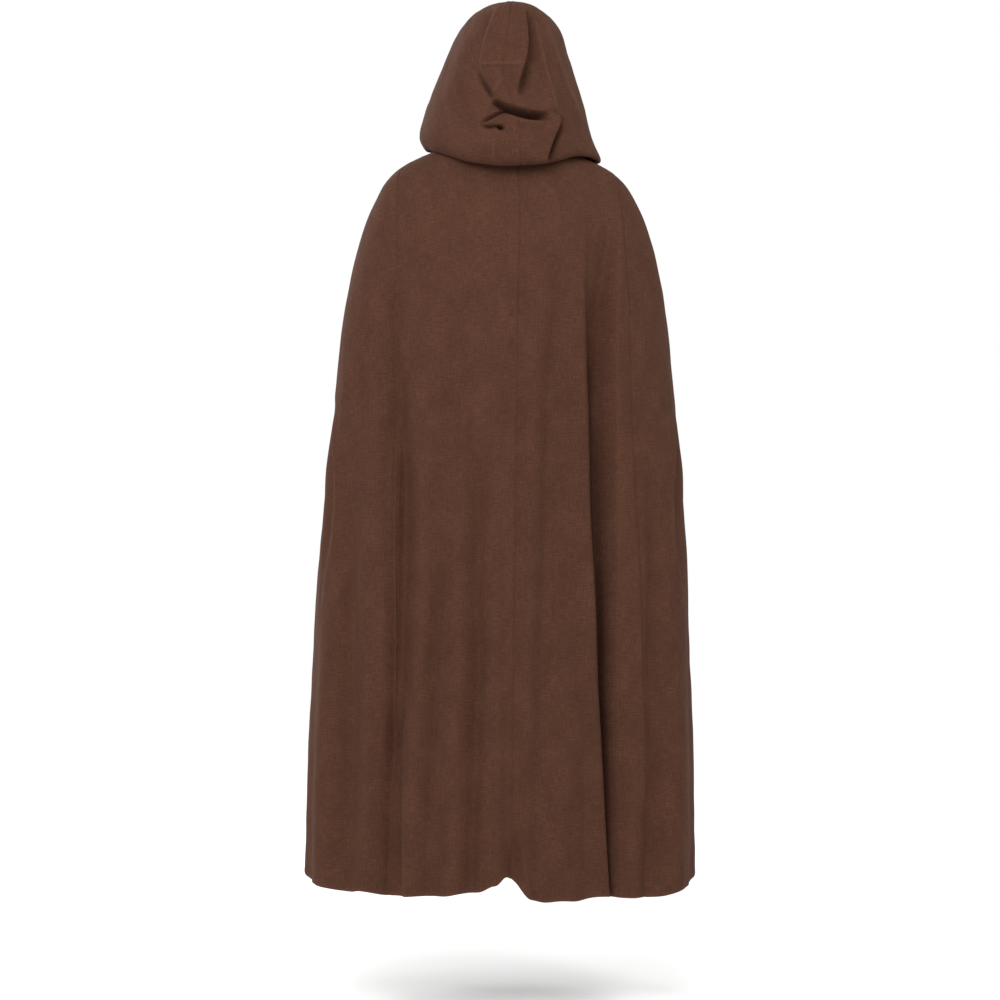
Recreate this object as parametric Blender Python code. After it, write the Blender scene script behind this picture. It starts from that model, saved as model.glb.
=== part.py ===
"""Long hooded cloak, as it hangs on a standing wearer with the hood up.

Metres, +Z up. The origin is the centre of the neck opening, where the wearer's neck and shoulders hold the
cloak. The front faces -Y and the wearer's left is +X.

The cloth is eight pieces: two back panels with a centre back seam, two wide fronts that meet the back panels
behind the arms, two hood halves joined over the crown and down the back, and a pair of cloth ties. Angles go
round the body from the centre back: 90 degrees is the wearer's left side, -90 the right, 180 the centre front.
"""

import math
from collections import namedtuple

import bmesh
import bpy
import numpy as np
from mathutils import Vector

# Driving sizes
CLOTH = 0.002
SEAM_GAP = 0.0003
NECK_GAP = 0.046
HEM_GAP = 0.120
SQUARENESS = 2.3
LEAN_AT_HEM = 0.012
RIGHT_SHOULDER_DROP = 0.009
HOOD_REST = 0.0022
TIE_WIDTH = 0.012
TIE_THICKNESS = 0.002
TIE_TAIL_LENGTH = 0.21
TIE_BELOW_NECK = 0.010
KNOT_WIDTH = 0.020
KNOT_HEIGHT = 0.016
KNOT_DEPTH = 0.012

# Level sections of the cloak from the neck seam to the hem. "tilt" is how far the section is higher at the
# back than at the sides, and lower at the front.
Section = namedtuple("Section", "z tilt half_width back front")
SECTIONS = [
    Section(-0.004, 0.016, 0.086, 0.076, 0.072),
    Section(-0.012, 0.012, 0.120, 0.084, 0.079),
    Section(-0.022, 0.008, 0.150, 0.093, 0.087),
    Section(-0.034, 0.004, 0.179, 0.102, 0.094),
    Section(-0.048, 0.001, 0.204, 0.110, 0.101),
    Section(-0.070, 0.000, 0.226, 0.120, 0.109),
    Section(-0.102, 0.000, 0.244, 0.130, 0.118),
    Section(-0.140, 0.000, 0.261, 0.139, 0.127),
    Section(-0.180, 0.000, 0.274, 0.147, 0.135),
    Section(-0.250, 0.000, 0.291, 0.157, 0.149),
    Section(-0.330, 0.000, 0.305, 0.163, 0.165),
    Section(-0.420, 0.000, 0.314, 0.167, 0.187),
    Section(-0.515, 0.000, 0.323, 0.170, 0.207),
    Section(-0.620, 0.000, 0.332, 0.174, 0.220),
    Section(-0.780, 0.000, 0.345, 0.180, 0.228),
    Section(-0.950, 0.000, 0.353, 0.187, 0.233),
    Section(-1.160, 0.000, 0.363, 0.196, 0.240),
    Section(-1.385, 0.000, 0.366, 0.204, 0.246),
]
HEM_Z = SECTIONS[-1].z

# Hanging folds. Each follows a line given by its angle at its start, half-way down and at its end, is full
# from "full" down, and fades out towards "end" where that is above the hem. A negative depth is a valley.
# "near" is its half-width on the side of the smaller angle and "far" on the side of the larger one.
Fold = namedtuple("Fold", "name start_angle middle_angle end_angle start full end depth near far")
FOLDS = [
    Fold("left seam valley", 45.0, 32.0, 31.5, -0.13, -0.45, HEM_Z, -0.024, 0.027, 0.029),
    Fold("left hem edge", 27.0, 26.0, 25.0, -1.02, -1.33, HEM_Z, 0.014, 0.020, 0.009),
    Fold("left blade valley", 15.5, 15.7, 16.2, -0.14, -0.85, HEM_Z, -0.012, 0.017, 0.026),
    Fold("left centre ridge", 11.0, 10.7, 10.6, -0.55, -1.00, HEM_Z, 0.008, 0.020, 0.020),
    Fold("left centre valley", 6.4, 4.8, 5.2, -0.50, -1.00, HEM_Z, -0.014, 0.016, 0.018),
    Fold("centre ridge", 2.0, 1.4, 0.6, -0.45, -1.00, HEM_Z, 0.007, 0.014, 0.018),
    Fold("centre dip", -2.4, -2.4, -2.4, -1.10, -1.36, HEM_Z, -0.014, 0.015, 0.015),
    Fold("right blade valley", -16.4, -10.4, -8.8, -0.18, -0.60, HEM_Z, -0.013, 0.024, 0.018),
    Fold("right broad ridge", -18.0, -15.0, -13.5, -0.75, -1.25, HEM_Z, 0.011, 0.040, 0.022),
    Fold("deep fold", -31.5, -26.3, -31.2, -0.12, -0.75, HEM_Z, -0.042, 0.036, 0.009),
    Fold("deep fold lip", -29.2, -24.6, -29.4, -0.30, -0.90, HEM_Z, 0.007, 0.008, 0.016),
    Fold("shoulder crease", -46.0, -36.5, -30.5, -0.13, -0.24, -0.48, -0.011, 0.016, 0.022),
    Fold("right seam ridge", -47.0, -37.5, -36.5, -0.16, -0.80, HEM_Z, 0.010, 0.020, 0.018),
    Fold("right side valley", -52.0, -49.0, -45.5, -0.58, -0.92, HEM_Z, -0.016, 0.026, 0.020),
    Fold("left side valley", 58.0, 49.4, 48.6, -0.50, -0.85, HEM_Z, -0.017, 0.020, 0.026),
    Fold("left side ridge", 44.0, 41.2, 39.8, -0.60, -0.96, HEM_Z, 0.008, 0.018, 0.016),
    Fold("left elbow crease", 85.0, 74.0, 77.0, -0.48, -0.62, -0.86, -0.010, 0.010, 0.020),
    Fold("right elbow crease", -85.0, -73.0, -76.0, -0.50, -0.63, -0.86, -0.010, 0.020, 0.010),
    Fold("left arm ridge", 64.0, 62.0, 61.0, -0.84, -1.12, HEM_Z, 0.010, 0.026, 0.030),
    Fold("right arm ridge", -62.0, -61.0, -60.0, -0.86, -1.15, HEM_Z, 0.009, 0.030, 0.026),
    Fold("left outer valley", 80.0, 78.0, 77.0, -0.78, -1.15, HEM_Z, -0.011, 0.024, 0.030),
    Fold("right outer valley", -82.0, -79.0, -78.0, -0.80, -1.10, HEM_Z, -0.010, 0.030, 0.024),
    Fold("left front valley", 110.0, 114.0, 116.0, -0.40, -0.85, HEM_Z, -0.020, 0.034, 0.024),
    Fold("left front ridge", 99.0, 102.0, 104.0, -0.50, -0.95, HEM_Z, 0.010, 0.026, 0.024),
    Fold("left chest valley", 134.0, 138.0, 140.0, -0.18, -0.75, HEM_Z, -0.022, 0.026, 0.034),
    Fold("left chest ridge", 124.0, 127.0, 129.0, -0.45, -0.90, HEM_Z, 0.012, 0.024, 0.022),
    Fold("left edge ridge", 151.0, 154.0, 156.0, -0.16, -0.80, HEM_Z, 0.013, 0.026, 0.024),
    Fold("right front valley", -113.0, -118.0, -121.0, -0.44, -0.90, HEM_Z, -0.022, 0.024, 0.036),
    Fold("right front ridge", -102.0, -106.0, -108.0, -0.52, -0.95, HEM_Z, 0.010, 0.024, 0.026),
    Fold("right chest valley", -138.0, -142.0, -144.0, -0.22, -0.70, HEM_Z, -0.018, 0.036, 0.026),
    Fold("right chest ridge", -127.0, -131.0, -133.0, -0.40, -0.85, HEM_Z, 0.012, 0.022, 0.024),
    Fold("right edge ridge", -155.0, -158.0, -160.0, -0.20, -0.85, HEM_Z, 0.011, 0.024, 0.022),
]

# Where the hem rides up or hangs lower, by angle, with its half-width along the hem.
HemRise = namedtuple("HemRise", "angle rise reach")
HEM_RISES = [
    HemRise(-2.0, 0.037, 0.021),
    HemRise(2.3, 0.018, 0.020),
    HemRise(6.0, 0.009, 0.030),
    HemRise(-9.0, -0.007, 0.040),
    HemRise(18.0, 0.005, 0.045),
    HemRise(-36.0, -0.004, 0.055),
    HemRise(66.0, 0.010, 0.060),
    HemRise(150.0, 0.008, 0.120),
    HemRise(-150.0, 0.006, 0.140),
]
HEM_RISE_FADES_OVER = 0.16

# The seams between back and front panels run from the neck over the shoulder and down behind the arm.
SeamLine = namedtuple("SeamLine", "drop centre_back left_side right_side")
SEAM_LINES = [
    SeamLine(0.00, -3.0, 88.0, -88.0),
    SeamLine(0.06, -3.4, 82.0, -84.0),
    SeamLine(0.12, -3.8, 70.0, -74.0),
    SeamLine(0.18, -4.1, 55.0, -60.0),
    SeamLine(0.26, -3.8, 46.0, -51.0),
    SeamLine(0.40, -3.1, 41.0, -46.0),
    SeamLine(0.60, -2.7, 36.5, -43.5),
    SeamLine(0.90, -2.3, 32.5, -43.5),
    SeamLine(1.20, -2.1, 31.0, -44.5),
    SeamLine(1.55, -2.0, 31.5, -45.5),
]

# Sections of the hood, from the crown seam down to where it tucks under at the neck: how far it leans to the
# wearer's left, then its points at the centre back, at the widest place of the side, and on the edge of the
# face opening.
HoodSection = namedtuple("HoodSection", "lean back_y back_z side_x side_z face_x face_y face_z")
HOOD_SECTIONS = [
    HoodSection(-0.008, 0.066, 0.258, 0.000, 0.268, 0.000, -0.141, 0.251),
    HoodSection(-0.008, 0.080, 0.253, 0.031, 0.265, 0.022, -0.140, 0.248),
    HoodSection(-0.008, 0.098, 0.242, 0.058, 0.252, 0.043, -0.138, 0.240),
    HoodSection(-0.007, 0.117, 0.222, 0.082, 0.230, 0.064, -0.135, 0.226),
    HoodSection(-0.006, 0.132, 0.194, 0.099, 0.204, 0.079, -0.131, 0.206),
    HoodSection(-0.003, 0.142, 0.162, 0.112, 0.174, 0.088, -0.126, 0.184),
    HoodSection(-0.001, 0.148, 0.128, 0.124, 0.142, 0.091, -0.121, 0.160),
    HoodSection(0.001, 0.152, 0.094, 0.135, 0.110, 0.090, -0.116, 0.136),
    HoodSection(0.002, 0.157, 0.056, 0.147, 0.076, 0.085, -0.111, 0.110),
    HoodSection(0.002, 0.160, 0.018, 0.156, 0.044, 0.077, -0.106, 0.084),
    HoodSection(0.001, 0.160, -0.020, 0.163, 0.018, 0.067, -0.100, 0.060),
    HoodSection(0.000, 0.154, -0.050, 0.160, -0.001, 0.057, -0.094, 0.040),
    HoodSection(0.000, 0.138, -0.064, 0.151, -0.014, 0.047, -0.088, 0.022),
    HoodSection(0.000, 0.120, -0.044, 0.137, -0.012, 0.038, -0.082, 0.005),
    HoodSection(0.000, 0.098, -0.009, 0.113, -0.006, 0.030, -0.077, -0.006),
    HoodSection(0.000, 0.076, 0.012, 0.086, -0.004, 0.023, -0.070, -0.019),
]
HOOD_SIDE_Y_CROWN = -0.030
HOOD_SIDE_Y_NECK = 0.000
HOOD_RIGHT_DROP = 0.022
HOOD_RIGHT_SPREAD = 0.024
HOOD_SEAM_SHIFT = 0.095

# The sunken peak of the hood: a patch of doubled cloth behind the head, from its top down, with its two
# edges as seen from behind and how far it stands out.
Peak = namedtuple("Peak", "z left right height")
PEAK = [
    Peak(0.252, 0.014, -0.030, 0.000),
    Peak(0.211, 0.027, -0.036, 0.006),
    Peak(0.168, 0.039, -0.037, 0.010),
    Peak(0.128, 0.046, -0.032, 0.014),
    Peak(0.104, 0.043, -0.026, 0.005),
    Peak(0.068, 0.028, -0.019, 0.000),
]
PEAK_SOFTNESS = 0.007

# Folds of the hood's back, placed by where they are seen from behind. Each is a line from (x0, z0) to
# (x1, z1), and "height" is out of the cloth. For a line that goes down, "left" and "right" are its half-widths
# on its left and right as seen from behind; for one that goes to the right, they are below and above it.
HoodFold = namedtuple("HoodFold", "name x0 z0 x1 z1 height left right")
HOOD_FOLDS = [
    HoodFold("beside the peak", -0.043, 0.205, -0.030, 0.090, -0.008, 0.007, 0.018),
    HoodFold("left flank crease", 0.043, 0.100, 0.028, 0.070, -0.006, 0.008, 0.009),
    HoodFold("lip", 0.022, 0.060, -0.070, 0.046, 0.010, 0.009, 0.020),
    HoodFold("deep crease", 0.014, 0.042, -0.072, 0.029, -0.017, 0.011, 0.009),
    HoodFold("slanting ridge", 0.006, 0.098, 0.044, 0.026, 0.006, 0.010, 0.011),
    HoodFold("slanting crease", 0.006, 0.040, 0.038, 0.023, -0.008, 0.008, 0.008),
    HoodFold("small crease", 0.044, 0.016, 0.008, 0.008, -0.009, 0.008, 0.008),
    HoodFold("long ridge", -0.060, 0.195, -0.097, 0.048, 0.006, 0.013, 0.010),
    HoodFold("outer ridge", -0.077, 0.195, -0.136, 0.050, 0.0055, 0.011, 0.011),
    HoodFold("right tuck", -0.099, 0.024, -0.076, -0.048, 0.007, 0.026, 0.006),
    HoodFold("beside the right tuck", -0.105, 0.020, -0.084, -0.046, -0.008, 0.007, 0.018),
    HoodFold("low roll", 0.050, -0.014, -0.070, -0.014, 0.005, 0.024, 0.022),
]

# How finely each piece is gridded
BODY_ROWS = 25
LEFT_BACK_COLUMNS = 19
RIGHT_BACK_COLUMNS = 23
FRONT_COLUMNS = 20
HOOD_ROWS = 37
HOOD_COLUMNS = 26
ACROSS_STEP = 0.02


def curve(stations, values, at):
    """Reads a table at any place as a smooth curve through its values."""
    stations = np.asarray(stations, float)
    values = np.asarray(values, float)
    slopes = np.gradient(values, stations)
    at = np.clip(at, stations[0], stations[-1])
    k = np.clip(np.searchsorted(stations, at) - 1, 0, len(stations) - 2)
    step = stations[k + 1] - stations[k]
    f = (at - stations[k]) / step
    start = values[k] * (1 + 2 * f) * (1 - f) ** 2 + step * slopes[k] * f * (1 - f) ** 2
    return start + values[k + 1] * f * f * (3 - 2 * f) + step * slopes[k + 1] * f * f * (f - 1)


def smoothstep(low, high, value):
    f = np.clip((value - low) / (high - low), 0, 1)
    return f * f * (3 - 2 * f)


def bump(offset, near, far):
    """A fold's profile: 1 on its line, falling away on the near (negative) and far (positive) sides."""
    return np.exp(-((offset / np.where(offset < 0, near, far)) ** 2))


def signed_power(value, power):
    return np.sign(value) * np.abs(value) ** power


def column(rows, name):
    return [getattr(row, name) for row in rows]


def drops_of_sections():
    """Distance down the cloth from the neck seam to each section, over the shoulder and down the side."""
    steps = np.hypot(np.diff(column(SECTIONS, "z")), np.diff(column(SECTIONS, "half_width")))
    return np.concatenate([[0], np.cumsum(steps)])


DROPS = drops_of_sections()
TOTAL_DROP = DROPS[-1]


def section_value(name, drop):
    return curve(DROPS, column(SECTIONS, name), drop)


def lean_at(drop):
    return LEAN_AT_HEM * section_value("z", drop) / HEM_Z


def level_at(s, c, drop):
    """Height of a section where the sine and cosine of the angle are s and c. The right shoulder is lower."""
    lowered = smoothstep(0, 0.10, drop) * (1 - smoothstep(0.14, 0.40, drop))
    level = section_value("z", drop) + section_value("tilt", drop) * c
    return level - RIGHT_SHOULDER_DROP * lowered * np.maximum(-s, 0)


def plain_body(angle, drop):
    """The cloak's surface before it is folded."""
    s, c = np.sin(np.radians(angle)), np.cos(np.radians(angle))
    depth = np.where(c > 0, section_value("back", drop), section_value("front", drop))
    x = lean_at(drop) + section_value("half_width", drop) * signed_power(s, 2 / SQUARENESS)
    y = depth * signed_power(c, 2 / SQUARENESS)
    return np.stack([x, y, level_at(s, c, drop)], -1)


def shoulder_height(x, y):
    """Height of the unfolded cloak at a place seen from above."""
    low, high = np.zeros_like(x), np.full_like(x, TOTAL_DROP)
    for _ in range(24):
        drop = (low + high) / 2
        depth = np.where(y > 0, section_value("back", drop), section_value("front", drop))
        across = np.clip(np.abs(x - lean_at(drop)) / section_value("half_width", drop), 0, 9)
        beyond = across**SQUARENESS + np.abs(y / depth) ** SQUARENESS > 1
        low, high = np.where(beyond, drop, low), np.where(beyond, high, drop)
    s = signed_power(np.clip((x - lean_at(drop)) / section_value("half_width", drop), -1, 1), SQUARENESS / 2)
    c = signed_power(np.clip(y / depth, -1, 1), SQUARENESS / 2)
    return level_at(s, c, drop)


def normals_of(surface, a, b, step_a, step_b):
    """Unit normals of surface(a, b), pointing out of the garment."""
    along = surface(a + step_a, b) - surface(a - step_a, b)
    down = surface(a, b + step_b) - surface(a, b - step_b)
    n = np.cross(along, down)
    return n / np.linalg.norm(n, axis=-1, keepdims=True)


def fold_line(fold, z):
    """The fold's angle at a height, and how far it has grown there."""
    run = np.clip((fold.start - z) / (fold.start - fold.end), 0, 1)
    line = fold.start_angle * (1 - run) * (1 - 2 * run) + fold.middle_angle * 4 * run * (1 - run)
    line = line + fold.end_angle * run * (2 * run - 1)
    grown = smoothstep(-fold.start, -fold.full, -z)
    if fold.end > HEM_Z:
        grown = grown * (1 - smoothstep(-fold.full, -fold.end, -z))
    return line, grown


def along_section(angle, other, drop):
    """Signed distance between two angles on the same section."""
    here, there = plain_body(angle, drop), plain_body(other, drop)
    return np.linalg.norm(here[..., :2] - there[..., :2], axis=-1) * np.sign(angle - other)


def body_surface(angle, drop):
    """The cloak's outer surface with its folds and its hem."""
    angle, drop = np.broadcast_arrays(np.asarray(angle, float), np.asarray(drop, float))
    plain = plain_body(angle, drop)
    out, rise = np.zeros_like(drop), np.zeros_like(drop)
    for fold in FOLDS:
        line, grown = fold_line(fold, plain[..., 2])
        out += fold.depth * grown * bump(along_section(angle, line, drop), fold.near, fold.far)
    for place in HEM_RISES:
        rise += place.rise * bump(along_section(angle, place.angle, drop), place.reach, place.reach)
    folded = plain + normals_of(plain_body, angle, drop, 0.2, 0.004) * out[..., None]
    folded[..., 2] += rise * smoothstep(TOTAL_DROP - HEM_RISE_FADES_OVER, TOTAL_DROP, drop)
    return folded


def edge_angle(drop):
    """The angle of the front edges, which hang a little apart at the centre front."""
    gap = NECK_GAP + (HEM_GAP - NECK_GAP) * smoothstep(0.05, TOTAL_DROP, drop)
    share = (gap / 2) / section_value("half_width", drop)
    return 180 - np.degrees(np.arcsin(share ** (SQUARENESS / 2)))


def right_edge_angle(drop):
    return -edge_angle(drop)


def seam(name):
    """The angle of a named seam as a function of the drop."""
    return lambda drop: curve(column(SEAM_LINES, "drop"), column(SEAM_LINES, name), drop)


def crowded(count, places, reach, extra):
    """Shares from 0 to 1 that crowd round the given places."""
    fine = np.linspace(0, 1, 400)
    density = np.ones_like(fine)
    for place in places:
        density += extra * np.exp(-(((fine - place) / reach) ** 2))
    total = np.concatenate([[0], np.cumsum((density[1:] + density[:-1]) / 2)])
    return np.interp(np.linspace(0, total[-1], count), total, fine)


def beside_seam(angle, drop, side):
    """The angle half a seam gap to one side of a seam."""
    per_degree = np.abs(along_section(angle + 0.5, angle - 0.5, drop))
    return angle + side * SEAM_GAP / 2 / per_degree


def body_grid(first, last, shares):
    """Outer and inner points of a panel between two seams, rows from the neck down."""
    drops = TOTAL_DROP * crowded(BODY_ROWS, [0.04, 0.12, 1.0], 0.06, 2.2)
    start = beside_seam(first(drops), drops, 1)[:, None]
    end = beside_seam(last(drops), drops, -1)[:, None]
    angle = start + (end - start) * shares[None, :]
    drop = np.broadcast_to(drops[:, None], angle.shape)
    outer = body_surface(angle, drop)
    outward = normals_of(body_surface, angle, drop, 0.2, 0.003)
    return outer, outer - outward * CLOTH


def hood_value(name, level):
    return curve(np.linspace(0, 1, len(HOOD_SECTIONS)), column(HOOD_SECTIONS, name), level)


def plain_hood(across, level):
    """The hood before it is folded. across goes from -2 at the right edge of the face opening, through 0 at
    the centre back and 1 at the widest place of the left side, to 2 at the left edge. level goes from 0 at
    the crown seam to 1 at the neck."""
    side = np.clip(np.abs(across), 0, 1)
    front = np.clip(np.abs(across) - 1, 0, 1)
    s, c = np.sin(side * math.pi / 2), np.cos(side * math.pi / 2)
    low = smoothstep(0.45, 0.80, level) * (1 - smoothstep(0.88, 0.98, level))
    right = np.where(across < 0, low * (1 - front**2), 0)
    spread = HOOD_RIGHT_SPREAD * smoothstep(0.62, 0.80, level)
    side_x = hood_value("side_x", level) + spread * right
    side_y = HOOD_SIDE_Y_CROWN + (HOOD_SIDE_Y_NECK - HOOD_SIDE_Y_CROWN) * smoothstep(0, 0.8, level)
    back_z, side_z = hood_value("back_z", level), hood_value("side_z", level)
    x = side_x * s + (hood_value("face_x", level) - side_x) * front**2
    y = side_y + (hood_value("back_y", level) - side_y) * c + (hood_value("face_y", level) - side_y) * front
    z = back_z + (side_z - back_z) * s**2 - HOOD_RIGHT_DROP * right * s**3
    z = z + (hood_value("face_z", level) - side_z) * front**1.7
    x = hood_value("lean", level) + np.where(across < 0, -x, x)
    seated = smoothstep(0.90, 1.0, level)
    angle = np.sign(across) * (90 * side + (edge_angle(np.zeros(1)) - 90) * front)
    on_neck = plain_body(angle, np.zeros_like(x))
    x = x + (on_neck[..., 0] - x) * seated
    y = y + (on_neck[..., 1] - y) * seated
    resting = shoulder_height(x, y) + SEAM_GAP + HOOD_REST * (1 - seated)
    return np.stack([x, y, np.where(level > 0.6, np.maximum(z, resting), z)], -1)


def hood_seam(level):
    """Where the seam runs down the back of the hood: it drifts to the right to meet the back's seam."""
    return -HOOD_SEAM_SHIFT * smoothstep(0.42, 0.60, level)


def peak_height(x, z):
    """How far the sunken peak stands out of the hood's back."""
    heights = [-row.z for row in PEAK]
    left, right = (curve(heights, column(PEAK, side), -z) for side in ("left", "right"))
    within = smoothstep(-PEAK_SOFTNESS, PEAK_SOFTNESS, left - x)
    within = within * smoothstep(-PEAK_SOFTNESS, PEAK_SOFTNESS, x - right)
    return curve(heights, column(PEAK, "height"), -z) * within


def hood_surface(across, level):
    """The hood's outer surface with its sunken peak and the folds of its back."""
    across, level = np.broadcast_arrays(np.asarray(across, float), np.asarray(level, float))
    plain = plain_hood(across, level)
    x, z = plain[..., 0], plain[..., 2]
    out = peak_height(x, z)
    for fold in HOOD_FOLDS:
        run_x, run_z = fold.x1 - fold.x0, fold.z1 - fold.z0
        length = math.hypot(run_x, run_z)
        along = ((x - fold.x0) * run_x + (z - fold.z0) * run_z) / length**2
        offset = ((x - fold.x0) * run_z - (z - fold.z0) * run_x) / length
        past = np.maximum(np.maximum(-along, along - 1), 0) * length
        fade = np.exp(-((past / (0.5 * (fold.left + fold.right) + 0.012)) ** 2))
        out += fold.height * bump(offset, fold.left, fold.right) * fade
    on_back = 1 - smoothstep(0.80, 1.05, np.abs(across))
    outside = smoothstep(0, 0.05, level) * (1 - smoothstep(0.74, 0.80, level))
    outward = normals_of(plain_hood, across, np.clip(level, 0.012, 0.99), 0.01, 0.006)
    return plain + outward * (out * on_back * outside)[..., None]


def hood_grid(side):
    """Outer and inner points of one hood half. side is 1 for the left half and -1 for the right."""
    shares = crowded(HOOD_COLUMNS, [0.08, 0.26], 0.16, 2.0)
    levels = crowded(HOOD_ROWS, [0.02, 0.40, 0.56, 0.84, 1.0], 0.07, 1.2)[:, None]
    middle = hood_seam(levels)
    below_crown = np.maximum(levels, 0.02)
    step = plain_hood(middle + 0.5 * ACROSS_STEP, below_crown) - plain_hood(middle - 0.5 * ACROSS_STEP, below_crown)
    start = middle + side * (SEAM_GAP / 2) * ACROSS_STEP / np.linalg.norm(step, axis=-1)
    across = start + (2 * side - start) * shares[None, :]
    outer = hood_surface(across, levels)
    outward = normals_of(hood_surface, across, np.clip(levels, 0.012, 0.988), 0.01, 0.006)
    inner = outer - outward * CLOTH
    for points in (outer, inner):
        points[0, :, 0] = hood_value("lean", 0) + side * SEAM_GAP / 2
    if side < 0:
        return outer[:, ::-1], inner[:, ::-1]
    return outer, inner


def new_material(name, colour, roughness):
    material = bpy.data.materials.new(name)
    material.use_nodes = True
    shader = material.node_tree.nodes["Principled BSDF"]
    shader.inputs["Base Color"].default_value = (*colour, 1)
    shader.inputs["Roughness"].default_value = roughness
    shader.inputs["Metallic"].default_value = 0
    return material


def add(name, mesh, material):
    mesh.materials.append(material)
    obj = bpy.data.objects.new(name, mesh)
    bpy.context.scene.collection.objects.link(obj)
    return obj


def mesh_from(name, solid):
    """A mesh from a bmesh, with its faces turned out."""
    bmesh.ops.recalc_face_normals(solid, faces=solid.faces)
    mesh = bpy.data.meshes.new(name)
    solid.to_mesh(mesh)
    solid.free()
    return mesh


def cloth_wall(name, outer, inner, material):
    """One closed wall of cloth from a grid of outer points and the inner points behind them."""
    rows, columns = outer.shape[:2]
    solid = bmesh.new()
    front = [[solid.verts.new(point) for point in row] for row in outer]
    behind = [[solid.verts.new(point) for point in row] for row in inner]
    for i in range(rows - 1):
        for j in range(columns - 1):
            corners = [(i, j), (i, j + 1), (i + 1, j + 1), (i + 1, j)]
            one_way = np.linalg.norm(outer[i, j] - outer[i + 1, j + 1])
            other_way = np.linalg.norm(outer[i, j + 1] - outer[i + 1, j])
            if one_way > other_way:
                corners = corners[1:] + corners[:1]
            for half in ((0, 1, 2), (0, 2, 3)):
                solid.faces.new([front[corners[k][0]][corners[k][1]] for k in half])
                solid.faces.new([behind[corners[k][0]][corners[k][1]] for k in reversed(half)])
    rim = [(0, j) for j in range(columns)] + [(i, columns - 1) for i in range(1, rows)]
    rim += [(rows - 1, j) for j in range(columns - 2, -1, -1)] + [(i, 0) for i in range(rows - 2, 0, -1)]
    for (i, j), (p, q) in zip(rim, rim[1:] + rim[:1]):
        solid.faces.new((front[i][j], behind[i][j], behind[p][q]))
        solid.faces.new((front[i][j], behind[p][q], front[p][q]))
    mesh = mesh_from(name, solid)
    mesh.shade_smooth()
    return add(name, mesh, material)


def strip(name, path, across, material):
    """A flat cloth strip along a path, its width in the direction across."""
    solid = bmesh.new()
    path = [Vector(point) for point in path]
    wide = Vector(across).normalized() * (TIE_WIDTH / 2)
    rings = []
    for k, point in enumerate(path):
        along = path[min(k + 1, len(path) - 1)] - path[max(k - 1, 0)]
        thick = along.cross(wide).normalized() * (TIE_THICKNESS / 2)
        corners = (point + wide + thick, point - wide + thick, point - wide - thick, point + wide - thick)
        rings.append([solid.verts.new(corner) for corner in corners])
    for ring, after in zip(rings, rings[1:]):
        for k in range(4):
            solid.faces.new((ring[k], ring[(k + 1) % 4], after[(k + 1) % 4], after[k]))
    solid.faces.new(rings[0][::-1])
    solid.faces.new(rings[-1])
    return add(name, mesh_from(name, solid), material)


def make_ties(material):
    """A pair of cloth ties sewn to the front edges at the neck, knotted once, with two hanging tails."""
    edge = float(edge_angle(np.array(TIE_BELOW_NECK)))
    sewn = [body_surface(side * edge, TIE_BELOW_NECK) for side in (1, -1)]
    middle = Vector((sewn[0] + sewn[1]) / 2)
    for name, point, side in (("tie_left", sewn[0], 1), ("tie_right", sewn[1], -1)):
        start = (point[0] - side * SEAM_GAP, point[1] + CLOTH / 2, point[2])
        end = middle + Vector((side * (KNOT_WIDTH / 2 + SEAM_GAP), 0, 0))
        strip(name, [start, end], (0, 0, 1), material)
    solid = bmesh.new()
    bmesh.ops.create_cube(solid, size=1)
    for vert in solid.verts:
        vert.co = middle + Vector((vert.co.x * KNOT_WIDTH, vert.co.y * KNOT_DEPTH, vert.co.z * KNOT_HEIGHT))
    bmesh.ops.bevel(solid, geom=solid.edges[:], offset=0.004, segments=3, profile=0.5, affect="EDGES")
    add("tie_knot", mesh_from("tie_knot", solid), material)
    for name, side, length in (
        ("tie_tail_left", 1, TIE_TAIL_LENGTH),
        ("tie_tail_right", -1, 0.9 * TIE_TAIL_LENGTH),
    ):
        path = []
        for share in np.linspace(0, 1, 9):
            x = middle.x + side * (0.0068 + 0.010 * share) + 0.003 * math.sin(1.5 * math.pi * share)
            y = middle.y - 0.030 * math.sin(share * math.pi / 2)
            path.append((x, y, middle.z - KNOT_HEIGHT / 2 - SEAM_GAP - length * share))
        strip(name, path, (1, 0.15 * side, 0), material)


def main():
    for obj in list(bpy.data.objects):
        bpy.data.objects.remove(obj)
    cloth = new_material("brown_cloth", (0.105, 0.045, 0.029), 0.9)
    tie_cloth = new_material("brown_tie", (0.098, 0.042, 0.027), 0.85)
    front_shares = crowded(FRONT_COLUMNS, [0.15], 0.12, 1.0)
    panels = [
        ("back_left", "centre_back", "left_side", crowded(LEFT_BACK_COLUMNS, [0.20, 0.85], 0.15, 0.8)),
        ("back_right", "right_side", "centre_back", crowded(RIGHT_BACK_COLUMNS, [0.34, 0.42], 0.10, 2.2)),
    ]
    for name, first, last, shares in panels:
        cloth_wall(name, *body_grid(seam(first), seam(last), shares), cloth)
    cloth_wall("front_left", *body_grid(seam("left_side"), edge_angle, front_shares), cloth)
    right_grid = body_grid(right_edge_angle, seam("right_side"), 1 - front_shares[::-1])
    cloth_wall("front_right", *right_grid, cloth)
    cloth_wall("hood_left", *hood_grid(1), cloth)
    cloth_wall("hood_right", *hood_grid(-1), cloth)
    make_ties(tie_cloth)


main()
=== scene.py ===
import math
from collections import namedtuple

import bpy
import numpy as np
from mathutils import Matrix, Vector, noise


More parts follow.
